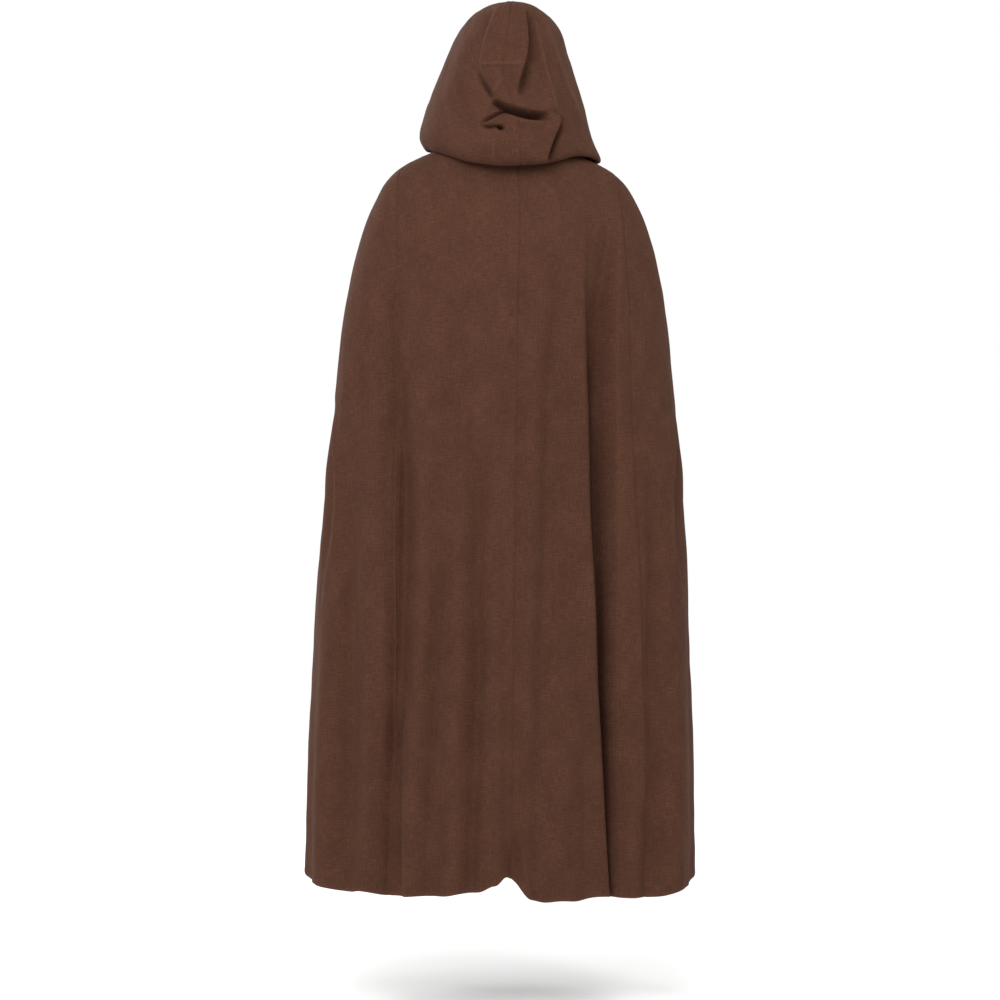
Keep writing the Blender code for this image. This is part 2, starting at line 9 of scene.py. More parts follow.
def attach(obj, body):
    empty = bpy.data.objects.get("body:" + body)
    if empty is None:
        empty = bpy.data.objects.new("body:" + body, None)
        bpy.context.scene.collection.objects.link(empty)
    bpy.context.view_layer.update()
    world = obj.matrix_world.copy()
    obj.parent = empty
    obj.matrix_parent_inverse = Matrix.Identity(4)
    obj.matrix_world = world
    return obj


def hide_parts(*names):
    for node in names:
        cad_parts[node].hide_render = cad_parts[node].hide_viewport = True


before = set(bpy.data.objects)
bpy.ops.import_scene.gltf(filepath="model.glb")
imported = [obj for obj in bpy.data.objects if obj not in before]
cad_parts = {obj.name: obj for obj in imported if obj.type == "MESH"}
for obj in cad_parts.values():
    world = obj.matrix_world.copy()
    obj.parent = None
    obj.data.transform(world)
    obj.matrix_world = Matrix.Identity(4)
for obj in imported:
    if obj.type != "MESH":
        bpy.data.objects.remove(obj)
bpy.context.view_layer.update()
scene = bpy.context.scene

# The studio. A camera on a stand 4.5 m behind the cloak and level with its middle, a pale painted floor
# 21 cm under the hem, white walls all round, a broad soft light from behind and above, and four soft boxes.
CAMERA_PLACE = (0.0122, 4.5, -0.666)
CAMERA_LENS_MM = 86.17
CAMERA_SENSOR_MM = 36.0
FLOOR_Z = -1.600
FLOOR_RADIUS = 16.0
FLOOR_CORNERS = 96
FLOOR_SPECKLES = 3.0
FLOOR_SPECKLE_SHADE = 0.985
WALL_WHITE = (1.0, 1.0, 1.0, 1.0)
FLOOR_PAINT = (0.97, 0.97, 0.965, 1.0)
WALL_LIGHT = 0.90
BROAD_LIGHT = 0.85
BROAD_LIGHT_FROM = (0.8, 2.6, 1.8)
BROAD_LIGHT_SPREAD = 40.0
SoftBox = namedtuple("SoftBox", "name place aim size watts")
SOFT_BOXES = [
    SoftBox("box_over_the_back", (0.7, 1.9, 0.7), (0, 0, -0.2), 1.2, 20.0),
    SoftBox("box_right_of_camera", (-1.8, 1.1, 1.0), (-0.25, 0, -0.1), 0.9, 15.0),
    SoftBox("box_left_of_camera", (3.2, 1.0, 0.5), (0, 0, -0.4), 1.8, 12.0),
    SoftBox("box_over_the_front", (1.7, -1.8, 1.0), (0, 0, -0.3), 1.0, 34.0),
]

camera_data = bpy.data.cameras.new("studio_camera")
camera_data.lens = CAMERA_LENS_MM
camera_data.sensor_width = CAMERA_SENSOR_MM
camera = bpy.data.objects.new("studio_camera", camera_data)
camera.location = CAMERA_PLACE
camera.rotation_euler = (math.pi / 2, 0, math.pi)
scene.collection.objects.link(camera)
scene.camera = camera
scene.view_settings.view_transform = "Standard"


def hang_lamp(light, place, towards):
    """A light hung at a place and turned to shine in a direction."""
    lamp = bpy.data.objects.new(light.name, light)
    lamp.location = place
    lamp.rotation_euler = Vector(towards).to_track_quat("-Z", "Y").to_euler()
    scene.collection.objects.link(lamp)


for box in SOFT_BOXES:
    light = bpy.data.lights.new(box.name, "AREA")
    light.shape, light.size, light.energy = "SQUARE", box.size, box.watts
    hang_lamp(light, box.place, Vector(box.aim) - Vector(box.place))

broad = bpy.data.lights.new("broad_light", "SUN")
broad.energy, broad.angle = BROAD_LIGHT, math.radians(BROAD_LIGHT_SPREAD)
hang_lamp(broad, (0, 0, 0), [-part for part in BROAD_LIGHT_FROM])

walls = bpy.data.worlds.new("white_walls")
walls.use_nodes = True
backdrop = walls.node_tree.nodes["Background"]
backdrop.inputs["Color"].default_value = WALL_WHITE
looked_at = walls.node_tree.nodes.new("ShaderNodeLightPath")
brightness = walls.node_tree.nodes.new("ShaderNodeMapRange")
brightness.inputs["To Min"].default_value = WALL_LIGHT
brightness.inputs["To Max"].default_value = 1.0
walls.node_tree.links.new(looked_at.outputs["Is Camera Ray"], brightness.inputs["Value"])
walls.node_tree.links.new(brightness.outputs["Result"], backdrop.inputs["Strength"])
scene.world = walls


def new_nodes(name):
    """A material with its shader, ready for its own nodes."""
    material = bpy.data.materials.new(name)
    material.use_nodes = True
    return material, material.node_tree, material.node_tree.nodes["Principled BSDF"]


floor_paint, tree, shader = new_nodes("floor_paint")
speckle = tree.nodes.new("ShaderNodeTexNoise")
speckle.inputs["Scale"].default_value = FLOOR_SPECKLES
blend = tree.nodes.new("ShaderNodeMix")
blend.data_type = "RGBA"
blend.inputs["A"].default_value = FLOOR_PAINT
blend.inputs["B"].default_value = [FLOOR_SPECKLE_SHADE * part for part in FLOOR_PAINT[:3]] + [1.0]
tree.links.new(speckle.outputs["Fac"], blend.inputs["Factor"])
tree.links.new(blend.outputs["Result"], shader.inputs["Base Color"])
shader.inputs["Roughness"].default_value = 0.9
shader.inputs["Specular IOR Level"].default_value = 0.1


def new_piece(name, points, faces, material):
    """An object of one material in the scene, from its points and faces, and its mesh."""
    mesh = bpy.data.meshes.new(name)
    mesh.from_pydata(points, [], faces)
    mesh.materials.append(material)
    piece = bpy.data.objects.new(name, mesh)
    scene.collection.objects.link(piece)
    return piece, mesh


around = [2 * math.pi * k / FLOOR_CORNERS for k in range(FLOOR_CORNERS)]
ring = [(FLOOR_RADIUS * math.cos(a), FLOOR_RADIUS * math.sin(a), FLOOR_Z) for a in around]
floor, _ = new_piece("studio_floor", ring, [list(range(FLOOR_CORNERS))], floor_paint)

# The back panels. Two lengths of plain-woven brown cloth, cut straight down the centre back and flared at
# the sides, joined by a plain seam and turned up with a narrow stitched hem. They hang in soft folds, with
# one deep fold over the right hip that lies with its edge on the cloth beside it.
CLOTH = 0.0015
SEAM_GAP = 0.00006
SQUARENESS = 2.3
LEAN_AT_HEM = 0.012
RIGHT_SHOULDER_DROP = 0.009
HEM_TURN = 0.013
TURNED_UNDER = 0.0011
EDGE_ROUNDED = 0.0006
PANEL_ROWS = 250
LEFT_BACK_COLUMNS = 110
RIGHT_BACK_COLUMNS = 135
# Places across the strip of a seam's allowance, in from the seam. The first one is as far past the seam.
ALLOWANCE_STEPS = (0.0016, 0.0006, 0.0030, 0.0060, 0.0085, 0.0108)
ALLOWANCE_FACES = (CLOTH + 0.0002, CLOTH + 0.0011)
ALLOWANCE_MAP_SHIFT = 0.37

# Level sections from the neck seam to the hem. "tilt" is how far a section is higher at the back.
Section = namedtuple("Section", "z tilt half_width back front")
SECTIONS = [
    Section(-0.004, 0.016, 0.086, 0.076, 0.072),
    Section(-0.012, 0.012, 0.120, 0.084, 0.079),
    Section(-0.022, 0.008, 0.150, 0.093, 0.087),
    Section(-0.034, 0.004, 0.179, 0.102, 0.094),
    Section(-0.048, 0.001, 0.204, 0.110, 0.101),
    Section(-0.070, 0.000, 0.226, 0.120, 0.109),
    Section(-0.102, 0.000, 0.244, 0.130, 0.118),
    Section(-0.140, 0.000, 0.261, 0.139, 0.127),
    Section(-0.180, 0.000, 0.274, 0.147, 0.135),
    Section(-0.250, 0.000, 0.291, 0.157, 0.149),
    Section(-0.330, 0.000, 0.305, 0.163, 0.165),
    Section(-0.420, 0.000, 0.314, 0.167, 0.187),
    Section(-0.515, 0.000, 0.323, 0.170, 0.207),
    Section(-0.620, 0.000, 0.332, 0.174, 0.220),
    Section(-0.780, 0.000, 0.345, 0.180, 0.228),
    Section(-0.950, 0.000, 0.353, 0.187, 0.233),
    Section(-1.160, 0.000, 0.363, 0.196, 0.240),
    Section(-1.385, 0.000, 0.366, 0.204, 0.246),
]
HEM_Z = SECTIONS[-1].z

# Hanging folds. Each runs down through places given as (height, angle round from the centre back,
# strength), with the left side at the larger angles. A negative depth is a valley. "near" is its half-width
# on the side of the smaller angles and "far" on the other one. "crisp" is 0 for a soft roll and 1 for a
# pressed edge, and "lean" is how far it leans over towards the smaller angles.
Fold = namedtuple("Fold", "name depth near far crisp lean path")
BACK_FOLDS = [
    Fold("left seam valley", -0.024, 0.027, 0.027, 0, 0, ((-.13, 48.4, 0), (-.264, 41.6, .45),
        (-.434, 38.2, .85), (-.533, 35.2, 1), (-.63, 31.6, 1), (-.775, 29.4, 1), (-.92, 28.8, 1),
        (-1.1, 29.8, 1), (HEM_Z, 30.2, .95))),
    Fold("left seam step", -0.009, 0.020, 0.0100, 0, 0, ((-.38, 35.9, 0), (-.46, 34.4, .6),
        (-.594, 32, 1), (-.702, 30.8, 1), (-.81, 30.2, 1), (-.92, 30, 1), (-1.03, 29.8, .8),
        (-1.14, 30.4, 0))),
    Fold("its left edge", -0.0045, 0.018, 0.004, 0, 0, ((-.46, 41, 0), (-.6, 38.4, .5),
        (-.72, 36.2, .7), (-.884, 33.7, 1), (-1.106, 32.6, 1), (-1.25, 32.3, .7), (HEM_Z, 32, .4))),
    Fold("its dark pocket", -0.010, 0.014, 0.007, 0, 0, ((-1.04, 31.6, 0), (-1.12, 31.8, 1),
        (-1.19, 31.8, 0))),
    Fold("its upper crease", -0.004, 0.006, 0.010, 0, 0, ((-.30, 40.4, 0), (-.37, 38.6, 1),
        (-.50, 36.6, .8), (-.60, 35.6, 0))),
    Fold("left hem edge", 0.012, 0.016, 0.006, .5, 0, ((-1.02, 27, 0), (-1.2, 26.3, .55),
        (-1.33, 25.4, 1), (HEM_Z, 25, 1))),
    Fold("left blade valley", -0.012, 0.017, 0.026, 0, 0, ((-.14, 21, 0), (-.246, 18.6, .4),
        (-.34, 14.6, .75), (-.412, 12.8, .8), (-.508, 14.2, .8), (-.62, 15.2, .8), (-.82, 15.8, 1),
        (HEM_Z, 16.4, 1))),
    Fold("left blade step", -0.0055, 0.0035, 0.018, 0, 0, ((-.76, 15.6, 0), (-.85, 16, .8),
        (-.937, 16.5, 1), (-1.057, 16.8, 1), (-1.201, 17.5, .9), (-1.32, 18.4, .2), (HEM_Z, 18.6, .2))),
    Fold("left centre ridge", 0.008, 0.020, 0.020, 0, 0, ((-.50, 11, 0), (-.8, 10.8, .7), (-1, 10.6, 1),
        (HEM_Z, 10.6, 1))),
    Fold("left centre valley", -0.015, 0.013, 0.017, 0, 0, ((-.44, 7.4, 0), (-.606, 6.8, .5),
        (-.72, 5.7, .8), (-.841, 6, .9), (-.936, 5.1, 1), (-1.103, 5.3, 1), (-1.295, 6, 1),
        (HEM_Z, 6.2, .9))),
    Fold("centre ridge", 0.007, 0.012, 0.017, 0, 0, ((-.42, 2.2, 0), (-.7, 1.6, .6), (-.85, 1.1, 1),
        (-.985, .8, 1), (-1.246, .5, 1), (HEM_Z, .6, .9))),
    Fold("beside the centre seam", -0.003, 0.010, 0.006, 0, 0, ((-.12, -5, 0), (-.3, -4.3, 1),
        (-.5, -3.9, 1), (-.9, -3.6, .8), (-1.2, -3.4, .5), (HEM_Z, -3.4, .2))),
    Fold("centre dip", -0.014, 0.015, 0.015, 0, 0, ((-1.1, -2.4, 0), (-1.24, -2.3, .4),
        (-1.36, -2.2, 1), (HEM_Z, -2.2, 1))),
    Fold("beside the notch", 0.0030, 0.006, 0.011, .2, 0, ((-1.2, -3, 0), (-1.271, -3.7, .8),
        (-1.343, -5.5, 1), (HEM_Z, -6.2, 1))),
    Fold("right blade valley", -0.013, 0.036, 0.015, 0, 0, ((-.15, -19, 0), (-.266, -16, .4),
        (-.389, -14.2, .7), (-.485, -12.3, .9), (-.63, -11.7, 1), (-.72, -11.2, 1), (-.864, -9.9, 1),
        (-.985, -9.5, 1), (-1.134, -9, .9), (HEM_Z, -8.8, .7))),
    Fold("its right edge", 0.0015, 0.012, 0.005, 0, 0, ((-.25, -19.6, 0), (-.45, -16.4, .9),
        (-.7, -14.6, 1), (-.95, -13.4, .8), (-1.15, -12.8, 0))),
    Fold("right broad ridge", 0.003, 0.038, 0.022, 0, 0, ((-.75, -18, 0), (-1, -16.2, .55),
        (-1.25, -14.4, 1), (HEM_Z, -13.5, 1))),
    Fold("right hem slope", -0.006, 0.016, 0.012, 0, 0, ((-1.12, -22.5, 0), (-1.22, -23, .9),
        (-1.29, -23.2, 1), (HEM_Z, -22.6, .6))),
    Fold("slope to the deep fold", -0.034, 0.032, 0.085, 0, 0, ((-.24, -27, 0), (-.40, -26.5, .45),
        (-.56, -26, .8), (-.9, -26.4, .9), (-1.1, -27.4, 1), (HEM_Z, -28.5, 1))),
    Fold("deep fold", -0.036, 0.040, 0.0080, 0, 0, ((-.12, -33, 0), (-.24, -29.2, .22),
        (-.339, -27.4, .5), (-.412, -27.0, .7), (-.533, -26.9, .9), (-.72, -26.5, 1), (-.865, -27.4, 1),
        (-1.01, -28.0, 1), (-1.13, -29.2, 1), (-1.249, -30.4, 1), (HEM_Z, -32.0, .9))),
    Fold("deep fold lip", 0.003, 0.006, 0.018, .4, 0.010, ((-.27, -25.8, 0), (-.38, -25.5, .6),
        (-.533, -24.9, .9), (-.72, -24.4, 1), (-.865, -25.4, 1), (-1.01, -26.1, 1), (-1.13, -27.3, 1),
        (-1.249, -28.4, 1), (HEM_Z, -30.1, 1))),
    Fold("shoulder crease", -0.014, 0.013, 0.022, 0, 0, ((-.12, -47, 0), (-.17, -42.6, .5),
        (-.24, -37.2, 1), (-.338, -32.4, 1), (-.411, -30, .7), (-.50, -28.6, 0))),
    Fold("shoulder pinch", -0.0018, 0.004, 0.009, 0, 0, ((-.14, -44.2, 0), (-.20, -39.6, 1),
        (-.27, -35.4, 1), (-.34, -31.8, .8), (-.40, -29.8, 0))),
    Fold("second dark band", -0.017, 0.008, 0.012, 0, 0, ((-.28, -36.4, 0), (-.36, -34.2, .5),
        (-.533, -31.8, .8), (-.72, -31.0, 1), (-.865, -30.8, 1), (-1.0, -30.8, .9), (-1.15, -31.6, .6),
        (-1.3, -33, 0))),
    Fold("right seam ridge", 0.010, 0.022, 0.012, .2, 0, ((-.11, -54, 0), (-.17, -47.6, .4),
        (-.288, -40.8, .8), (-.533, -36.6, 1), (-.775, -34.8, 1), (-1.028, -34, 1), (-1.2, -34.6, 1),
        (HEM_Z, -35.8, 1))),
    Fold("right side valley", -0.017, 0.026, 0.018, 0, 0, ((-.58, -52, 0), (-.794, -51.3, .85),
        (-.964, -48.8, 1), (-1.158, -48.4, 1), (-1.326, -46, 1), (HEM_Z, -45.5, 1))),
    Fold("right side step", 0.0025, 0.014, 0.010, 0, 0, ((-.7, -44.6, 0), (-.85, -43.4, 1),
        (-1.1, -42.6, 1), (-1.28, -41, .8), (HEM_Z, -40.4, .6))),
    Fold("left side valley", -0.018, 0.020, 0.026, 0, 0, ((-.5, 58, 0), (-.77, 53.5, .85),
        (-.964, 49.4, 1), (-1.158, 47.2, 1), (-1.328, 48.2, 1), (HEM_Z, 49, 1))),
    Fold("left side ridge", 0.008, 0.018, 0.016, 0, 0, ((-.6, 44.5, 0), (-.77, 43.7, .8),
        (-.963, 41.5, 1), (-1.156, 39.9, 1), (HEM_Z, 39.8, 1))),
]

# Small swells and dents, by angle and height, with their half-widths across and down the cloth.
Swell = namedtuple("Swell", "angle z across down height")
BACK_SWELLS = [
    Swell(50, -0.615, 0.045, 0.040, 0.0050),
    Swell(47, -0.545, 0.050, 0.016, -0.0022),
    Swell(-46, -0.610, 0.045, 0.038, 0.0045),
    Swell(-45, -0.548, 0.050, 0.014, -0.0020),
    Swell(3, -0.58, 0.040, 0.090, 0.0040),
    Swell(20, -0.20, 0.060, 0.080, 0.0030),
    Swell(-22, -0.21, 0.055, 0.080, 0.0030),
    Swell(2.6, -0.104, 0.018, 0.005, -0.0021),
    Swell(1.4, -0.139, 0.016, 0.004, -0.0018),
    Swell(4.5, -0.191, 0.018, 0.005, -0.0019),
    Swell(7.2, -0.252, 0.006, 0.009, -0.0022),
    Swell(-1.6, -0.331, 0.007, 0.010, -0.0036),
    Swell(0.2, -0.360, 0.010, 0.006, -0.0026),
    Swell(-1.6, -0.389, 0.006, 0.012, -0.0030),
    Swell(14, -0.300, 0.007, 0.008, -0.0020),
    Swell(27, -0.590, 0.010, 0.009, -0.0014),
    Swell(30, -0.560, 0.008, 0.012, -0.0016),
]

# Where the hem rides up or hangs lower, by angle, with its half-width along the hem.
HemRise = namedtuple("HemRise", "angle rise reach")
HEM_RISES = [
    HemRise(-62.0, 0.005, 0.045),
    HemRise(-52.0, -0.006, 0.040),
    HemRise(-36.0, -0.004, 0.055),
    HemRise(-27.0, 0.001, 0.028),
    HemRise(-20.0, -0.006, 0.028),
    HemRise(-9.0, -0.007, 0.040),
    HemRise(-7.0, 0.0045, 0.016),
    HemRise(-4.0, 0.004, 0.012),
    HemRise(-2.0, 0.0335, 0.021),
    HemRise(-0.6, 0.0125, 0.012),
    HemRise(1.0, 0.007, 0.012),
    HemRise(2.3, 0.018, 0.020),
    HemRise(3.2, -0.005, 0.015),
    HemRise(6.0, 0.009, 0.030),
    HemRise(10.0, 0.005, 0.025),
    HemRise(18.0, 0.005, 0.045),
    HemRise(27.0, 0.002, 0.030),
    HemRise(40.0, 0.010, 0.030),
    HemRise(66.0, 0.011, 0.060),
    HemRise(92.0, 0.020, 0.070),
    HemRise(-90.0, 0.018, 0.065),
    HemRise(150.0, 0.008, 0.120),
    HemRise(-150.0, 0.006, 0.140),
]
HEM_RISE_FADES_OVER = 0.16
# How wide the lighter line on a pressed fold is: wear, and a painted highlight where the ridge catches the
# light.
RIDGE_HIGHLIGHT_REACH = 0.0022

# The seams run from the neck over the shoulder and down the back part of the side.
SeamLine = namedtuple("SeamLine", "drop centre_back left_side right_side")
SEAM_LINES = [
    SeamLine(0.00, -3.0, 88.0, -88.0),
    SeamLine(0.06, -3.4, 82.0, -84.0),
    SeamLine(0.12, -3.8, 70.0, -74.0),
    SeamLine(0.18, -4.1, 55.0, -60.0),
    SeamLine(0.26, -3.8, 46.0, -51.0),
    SeamLine(0.40, -3.1, 41.0, -46.0),
    SeamLine(0.60, -2.7, 36.5, -43.5),
    SeamLine(0.90, -2.3, 32.5, -43.5),
    SeamLine(1.20, -2.1, 31.0, -44.5),
    SeamLine(1.55, -2.0, 31.5, -45.5),
]


def curve(stations, values, at):
    """Reads a table at any place as a smooth curve through its values."""
    stations = np.asarray(stations, float)
    values = np.asarray(values, float)
    slopes = np.gradient(values, stations)
    at = np.clip(at, stations[0], stations[-1])
    k = np.clip(np.searchsorted(stations, at) - 1, 0, len(stations) - 2)
    step = stations[k + 1] - stations[k]
    f = (at - stations[k]) / step
    start = values[k] * (1 + 2 * f) * (1 - f) ** 2 + step * slopes[k] * f * (1 - f) ** 2
    return start + values[k + 1] * f * f * (3 - 2 * f) + step * slopes[k + 1] * f * f * (f - 1)


def smoothstep(low, high, value):
    f = np.clip((value - low) / (high - low), 0, 1)
    return f * f * (3 - 2 * f)


def profile(offset, near, far, crisp=0.0):
    """A fold's cross-section: 1 on its line, falling away on the near (negative) and far sides."""
    away = np.abs(offset) / np.where(offset < 0, near, far)
    return (1 - crisp) * np.exp(-away * away) + crisp * np.exp(-1.2 * away)


def signed_power(value, power):
    return np.sign(value) * np.abs(value) ** power


def column(rows, name):
    return [getattr(row, name) for row in rows]


SECTION_STEPS = np.hypot(np.diff(column(SECTIONS, "z")), np.diff(column(SECTIONS, "half_width")))
DROPS = np.concatenate([[0], np.cumsum(SECTION_STEPS)])
TOTAL_DROP = DROPS[-1]


def section_value(name, drop):
    return curve(DROPS, column(SECTIONS, name), drop)


def bell(value, reach):
    """1 at nought, falling away softly on both sides."""
    return np.exp(-((value / reach) ** 2))


def level_at(s, c, drop):
    """Height of a section where the angle's sine and cosine are s and c. The right shoulder is lower."""
    lowered = smoothstep(0, 0.10, drop) * (1 - smoothstep(0.14, 0.40, drop))
    level = section_value("z", drop) + section_value("tilt", drop) * c
    return level - RIGHT_SHOULDER_DROP * lowered * np.maximum(-s, 0)


def lean_at(drop):
    return LEAN_AT_HEM * section_value("z", drop) / HEM_Z


def plain_body(angle, drop):
    """The cloak's surface before it is folded, at an angle from the centre back and a distance down."""
    s, c = np.sin(np.radians(angle)), np.cos(np.radians(angle))
    depth = np.where(c > 0, section_value("back", drop), section_value("front", drop))
    x = lean_at(drop) + section_value("half_width", drop) * signed_power(s, 2 / SQUARENESS)
    return np.stack([x, depth * signed_power(c, 2 / SQUARENESS), level_at(s, c, drop)], -1)


def unit(vectors):
    return vectors / np.linalg.norm(vectors, axis=-1, keepdims=True)


def directions_of(surface, a, b, step_a, step_b):
    """Unit directions along and out of a surface at (a, b)."""
    along = surface(a + step_a, b) - surface(a - step_a, b)
    down = surface(a, b + step_b) - surface(a, b - step_b)
    return unit(along), unit(np.cross(along, down))


def along_section(angle, other, drop):
    """Signed distance between two angles on the same section."""
    here, there = plain_body(angle, drop), plain_body(other, drop)
    return np.linalg.norm(here[..., :2] - there[..., :2], axis=-1) * np.sign(angle - other)


def uneven(across, down, wave_across, wave_down, seed):
    """Smooth unevenness between -1 and 1 over the cloth, with waves of about the given sizes."""
    layer = np.full(across.shape, 7.3 * seed)
    flat = np.stack([across / wave_across, down / wave_down, layer], -1).reshape(-1, 3)
    return np.array([noise.noise(Vector(point)) for point in flat]).reshape(across.shape) * 1.6


def body_surface(angle, drop, folds, swells):
    """The cloak's outer surface with its folds and its hem."""
    plain = plain_body(angle, drop)
    z = plain[..., 2]
    out, over, rise, wear_and_highlight = (np.zeros_like(drop) for _ in range(4))
    for fold in folds:
        heights, angles, strengths = (np.array(values, float) for values in zip(*fold.path))
        strength = np.clip(curve(-heights, strengths, -z), 0, 1.1) * (z < heights[0])
        if heights[-1] > HEM_Z:
            strength = strength * (z > heights[-1])
        offset = along_section(angle, curve(-heights, angles, -z), drop)
        out += fold.depth * strength * profile(offset, fold.near, fold.far, fold.crisp)
        # A pressed ridge gets a lighter line, partly wear and partly a painted highlight of the light it
        # catches.
        if fold.crisp and fold.depth > 0:
            wear_and_highlight = np.maximum(wear_and_highlight, fold.crisp * strength * bell(offset, RIDGE_HIGHLIGHT_REACH))
        if fold.lean:
            over += fold.lean * strength * profile(offset, fold.near, fold.far)
    for swell in swells:
        offset = along_section(angle, swell.angle, drop)
        out += swell.height * bell(offset, swell.across) * bell(z - swell.z, swell.down)
    for place in HEM_RISES:
        rise += place.rise * bell(along_section(angle, place.angle, drop), place.reach)
    along, outward = directions_of(plain_body, angle, drop, 0.2, 0.004)
    folded = plain + outward * out[..., None] - along * over[..., None]
    folded[..., 2] += rise * smoothstep(TOTAL_DROP - HEM_RISE_FADES_OVER, TOTAL_DROP, drop)
    return folded, outward, wear_and_highlight


def crowded(count, places, reach, extra):
    """Shares from 0 to 1 that crowd round the given places."""
    fine = np.linspace(0, 1, 900)
    density = np.ones_like(fine)
    for place in places:
        density += extra * bell(fine - place, reach)
    total = np.concatenate([[0], np.cumsum((density[1:] + density[:-1]) / 2)])
    return np.interp(np.linspace(0, total[-1], count), total, fine)


def seam(name):
    """The angle of a named seam as a function of the distance down the cloth."""
    return lambda drop: curve(column(SEAM_LINES, "drop"), column(SEAM_LINES, name), drop)


def beside_seam(angle, drop, side):
    """The angle half a seam gap to one side of a seam."""
    per_degree = np.abs(along_section(angle + 0.5, angle - 0.5, drop))
    return angle + side * SEAM_GAP / 2 / per_degree


def outward_of(points):
    """Unit directions out of a grid of points that runs round and down."""
    return unit(np.cross(np.gradient(points, axis=1), np.gradient(points, axis=0)))


def run_along(points, axis):
    """Distances along a grid's rows (axis 1) or down its columns (axis 0), from its first point."""
    steps = np.linalg.norm(np.diff(points, axis=axis), axis=-1)
    return np.concatenate([np.zeros_like(np.take(steps, [0], axis)), np.cumsum(steps, axis)], axis)


# How high the cloth's small unevenness is, and how long its waves are across and down.
Ripple = namedtuple("Ripple", "height across down")
SEAM_PUCKER = Ripple(0.00055, 0.016, 0.011)
EDGE_PUCKER = Ripple(0.00050, 0.021, 0.021)
SEAM_DIP = 0.0015
SEAM_DIP_WIDTH = 0.0017
ALLOWANCE_SHOWS = 0.00035
STITCHES_PULL_IN = 0.0006
STITCHES_PULL_WIDTH = 0.0013
TURNED_EDGE_STANDS = 0.0004
PLAIN_BESIDE_SEAM = 0.012
SEAM_PUCKER_REACH = 0.011
EDGE_PUCKER_REACH = 0.016


def rippled(ripple, across, down, seed):
    return ripple.height * uneven(across, down, ripple.across, ripple.down, seed)


def sewn_relief(seam_distance, edge_distance, across, down, seed):
    """What sewing does to the cloth: it dips into a seam and puckers beside it, and a turned edge stands up
    a little from its line of stitches."""
    over_allowance = smoothstep(0.0125, 0.0105, seam_distance) * smoothstep(0.001, 0.003, seam_distance)
    off_seam = smoothstep(0, 0.004, seam_distance)
    relief = ALLOWANCE_SHOWS * over_allowance - SEAM_DIP * bell(seam_distance, SEAM_DIP_WIDTH)
    relief += rippled(SEAM_PUCKER, across, down, seed) * off_seam * np.exp(
        -seam_distance / SEAM_PUCKER_REACH)
    relief -= STITCHES_PULL_IN * bell(edge_distance - HEM_TURN, STITCHES_PULL_WIDTH)
    relief += TURNED_EDGE_STANDS * smoothstep(HEM_TURN, HEM_TURN - 0.003, edge_distance)
    relief += rippled(EDGE_PUCKER, across, down, seed + 1) * off_seam * np.exp(
        -edge_distance / EDGE_PUCKER_REACH)
    return relief


def from_edge(grid, edge):
    """The same grid, turned so that its rows run inwards from the named edge."""
    return {"first": grid, "last": grid[:, ::-1], "top": np.swapaxes(grid, 0, 1),
            "hem": np.swapaxes(grid[::-1], 0, 1)}[edge]


def inside_edge(points, edge, distance, carried):
    """What a grid carries along the line at a distance inside one of its edges."""
    widths = run_along(from_edge(points, edge), 1)
    values = from_edge(carried, edge)
    k = np.clip((widths < distance).sum(axis=1) - 1, 0, widths.shape[1] - 2)
    row = np.arange(len(k))
    share = (distance - widths[row, k]) / np.maximum(widths[row, k + 1] - widths[row, k], 1e-9)
    share = np.clip(share, -3, 1)[:, None]
    return values[row, k] * (1 - share) + values[row, k + 1] * share


def closed_faces(rows, columns, first):
    """The faces of a closed shell of an outer grid of points and the inner one numbered after it."""
    index = first + np.arange(rows * columns).reshape(rows, columns)
    corners = np.stack([index[:-1, :-1], index[:-1, 1:], index[1:, 1:], index[1:, :-1]], -1).reshape(-1, 4)
    rim = np.concatenate([index[0, :], index[1:, -1], index[-1, -2::-1], index[-2:0:-1, 0]])
    beyond = np.roll(rim, -1)
    behind = rows * columns
    walls_round = np.stack([rim, rim + behind, beyond + behind, beyond], -1)
    return np.concatenate([corners[:, ::-1], corners + behind, walls_round])


# The last field marks wear at edges and seams, and a painted highlight on pressed ridges.
Shell = namedtuple("Shell", "outside inside laid worn")
EDGE_WEAR_REACH = 0.0035
SEAM_WEAR = 0.05
SEAM_WEAR_REACH = 0.0025


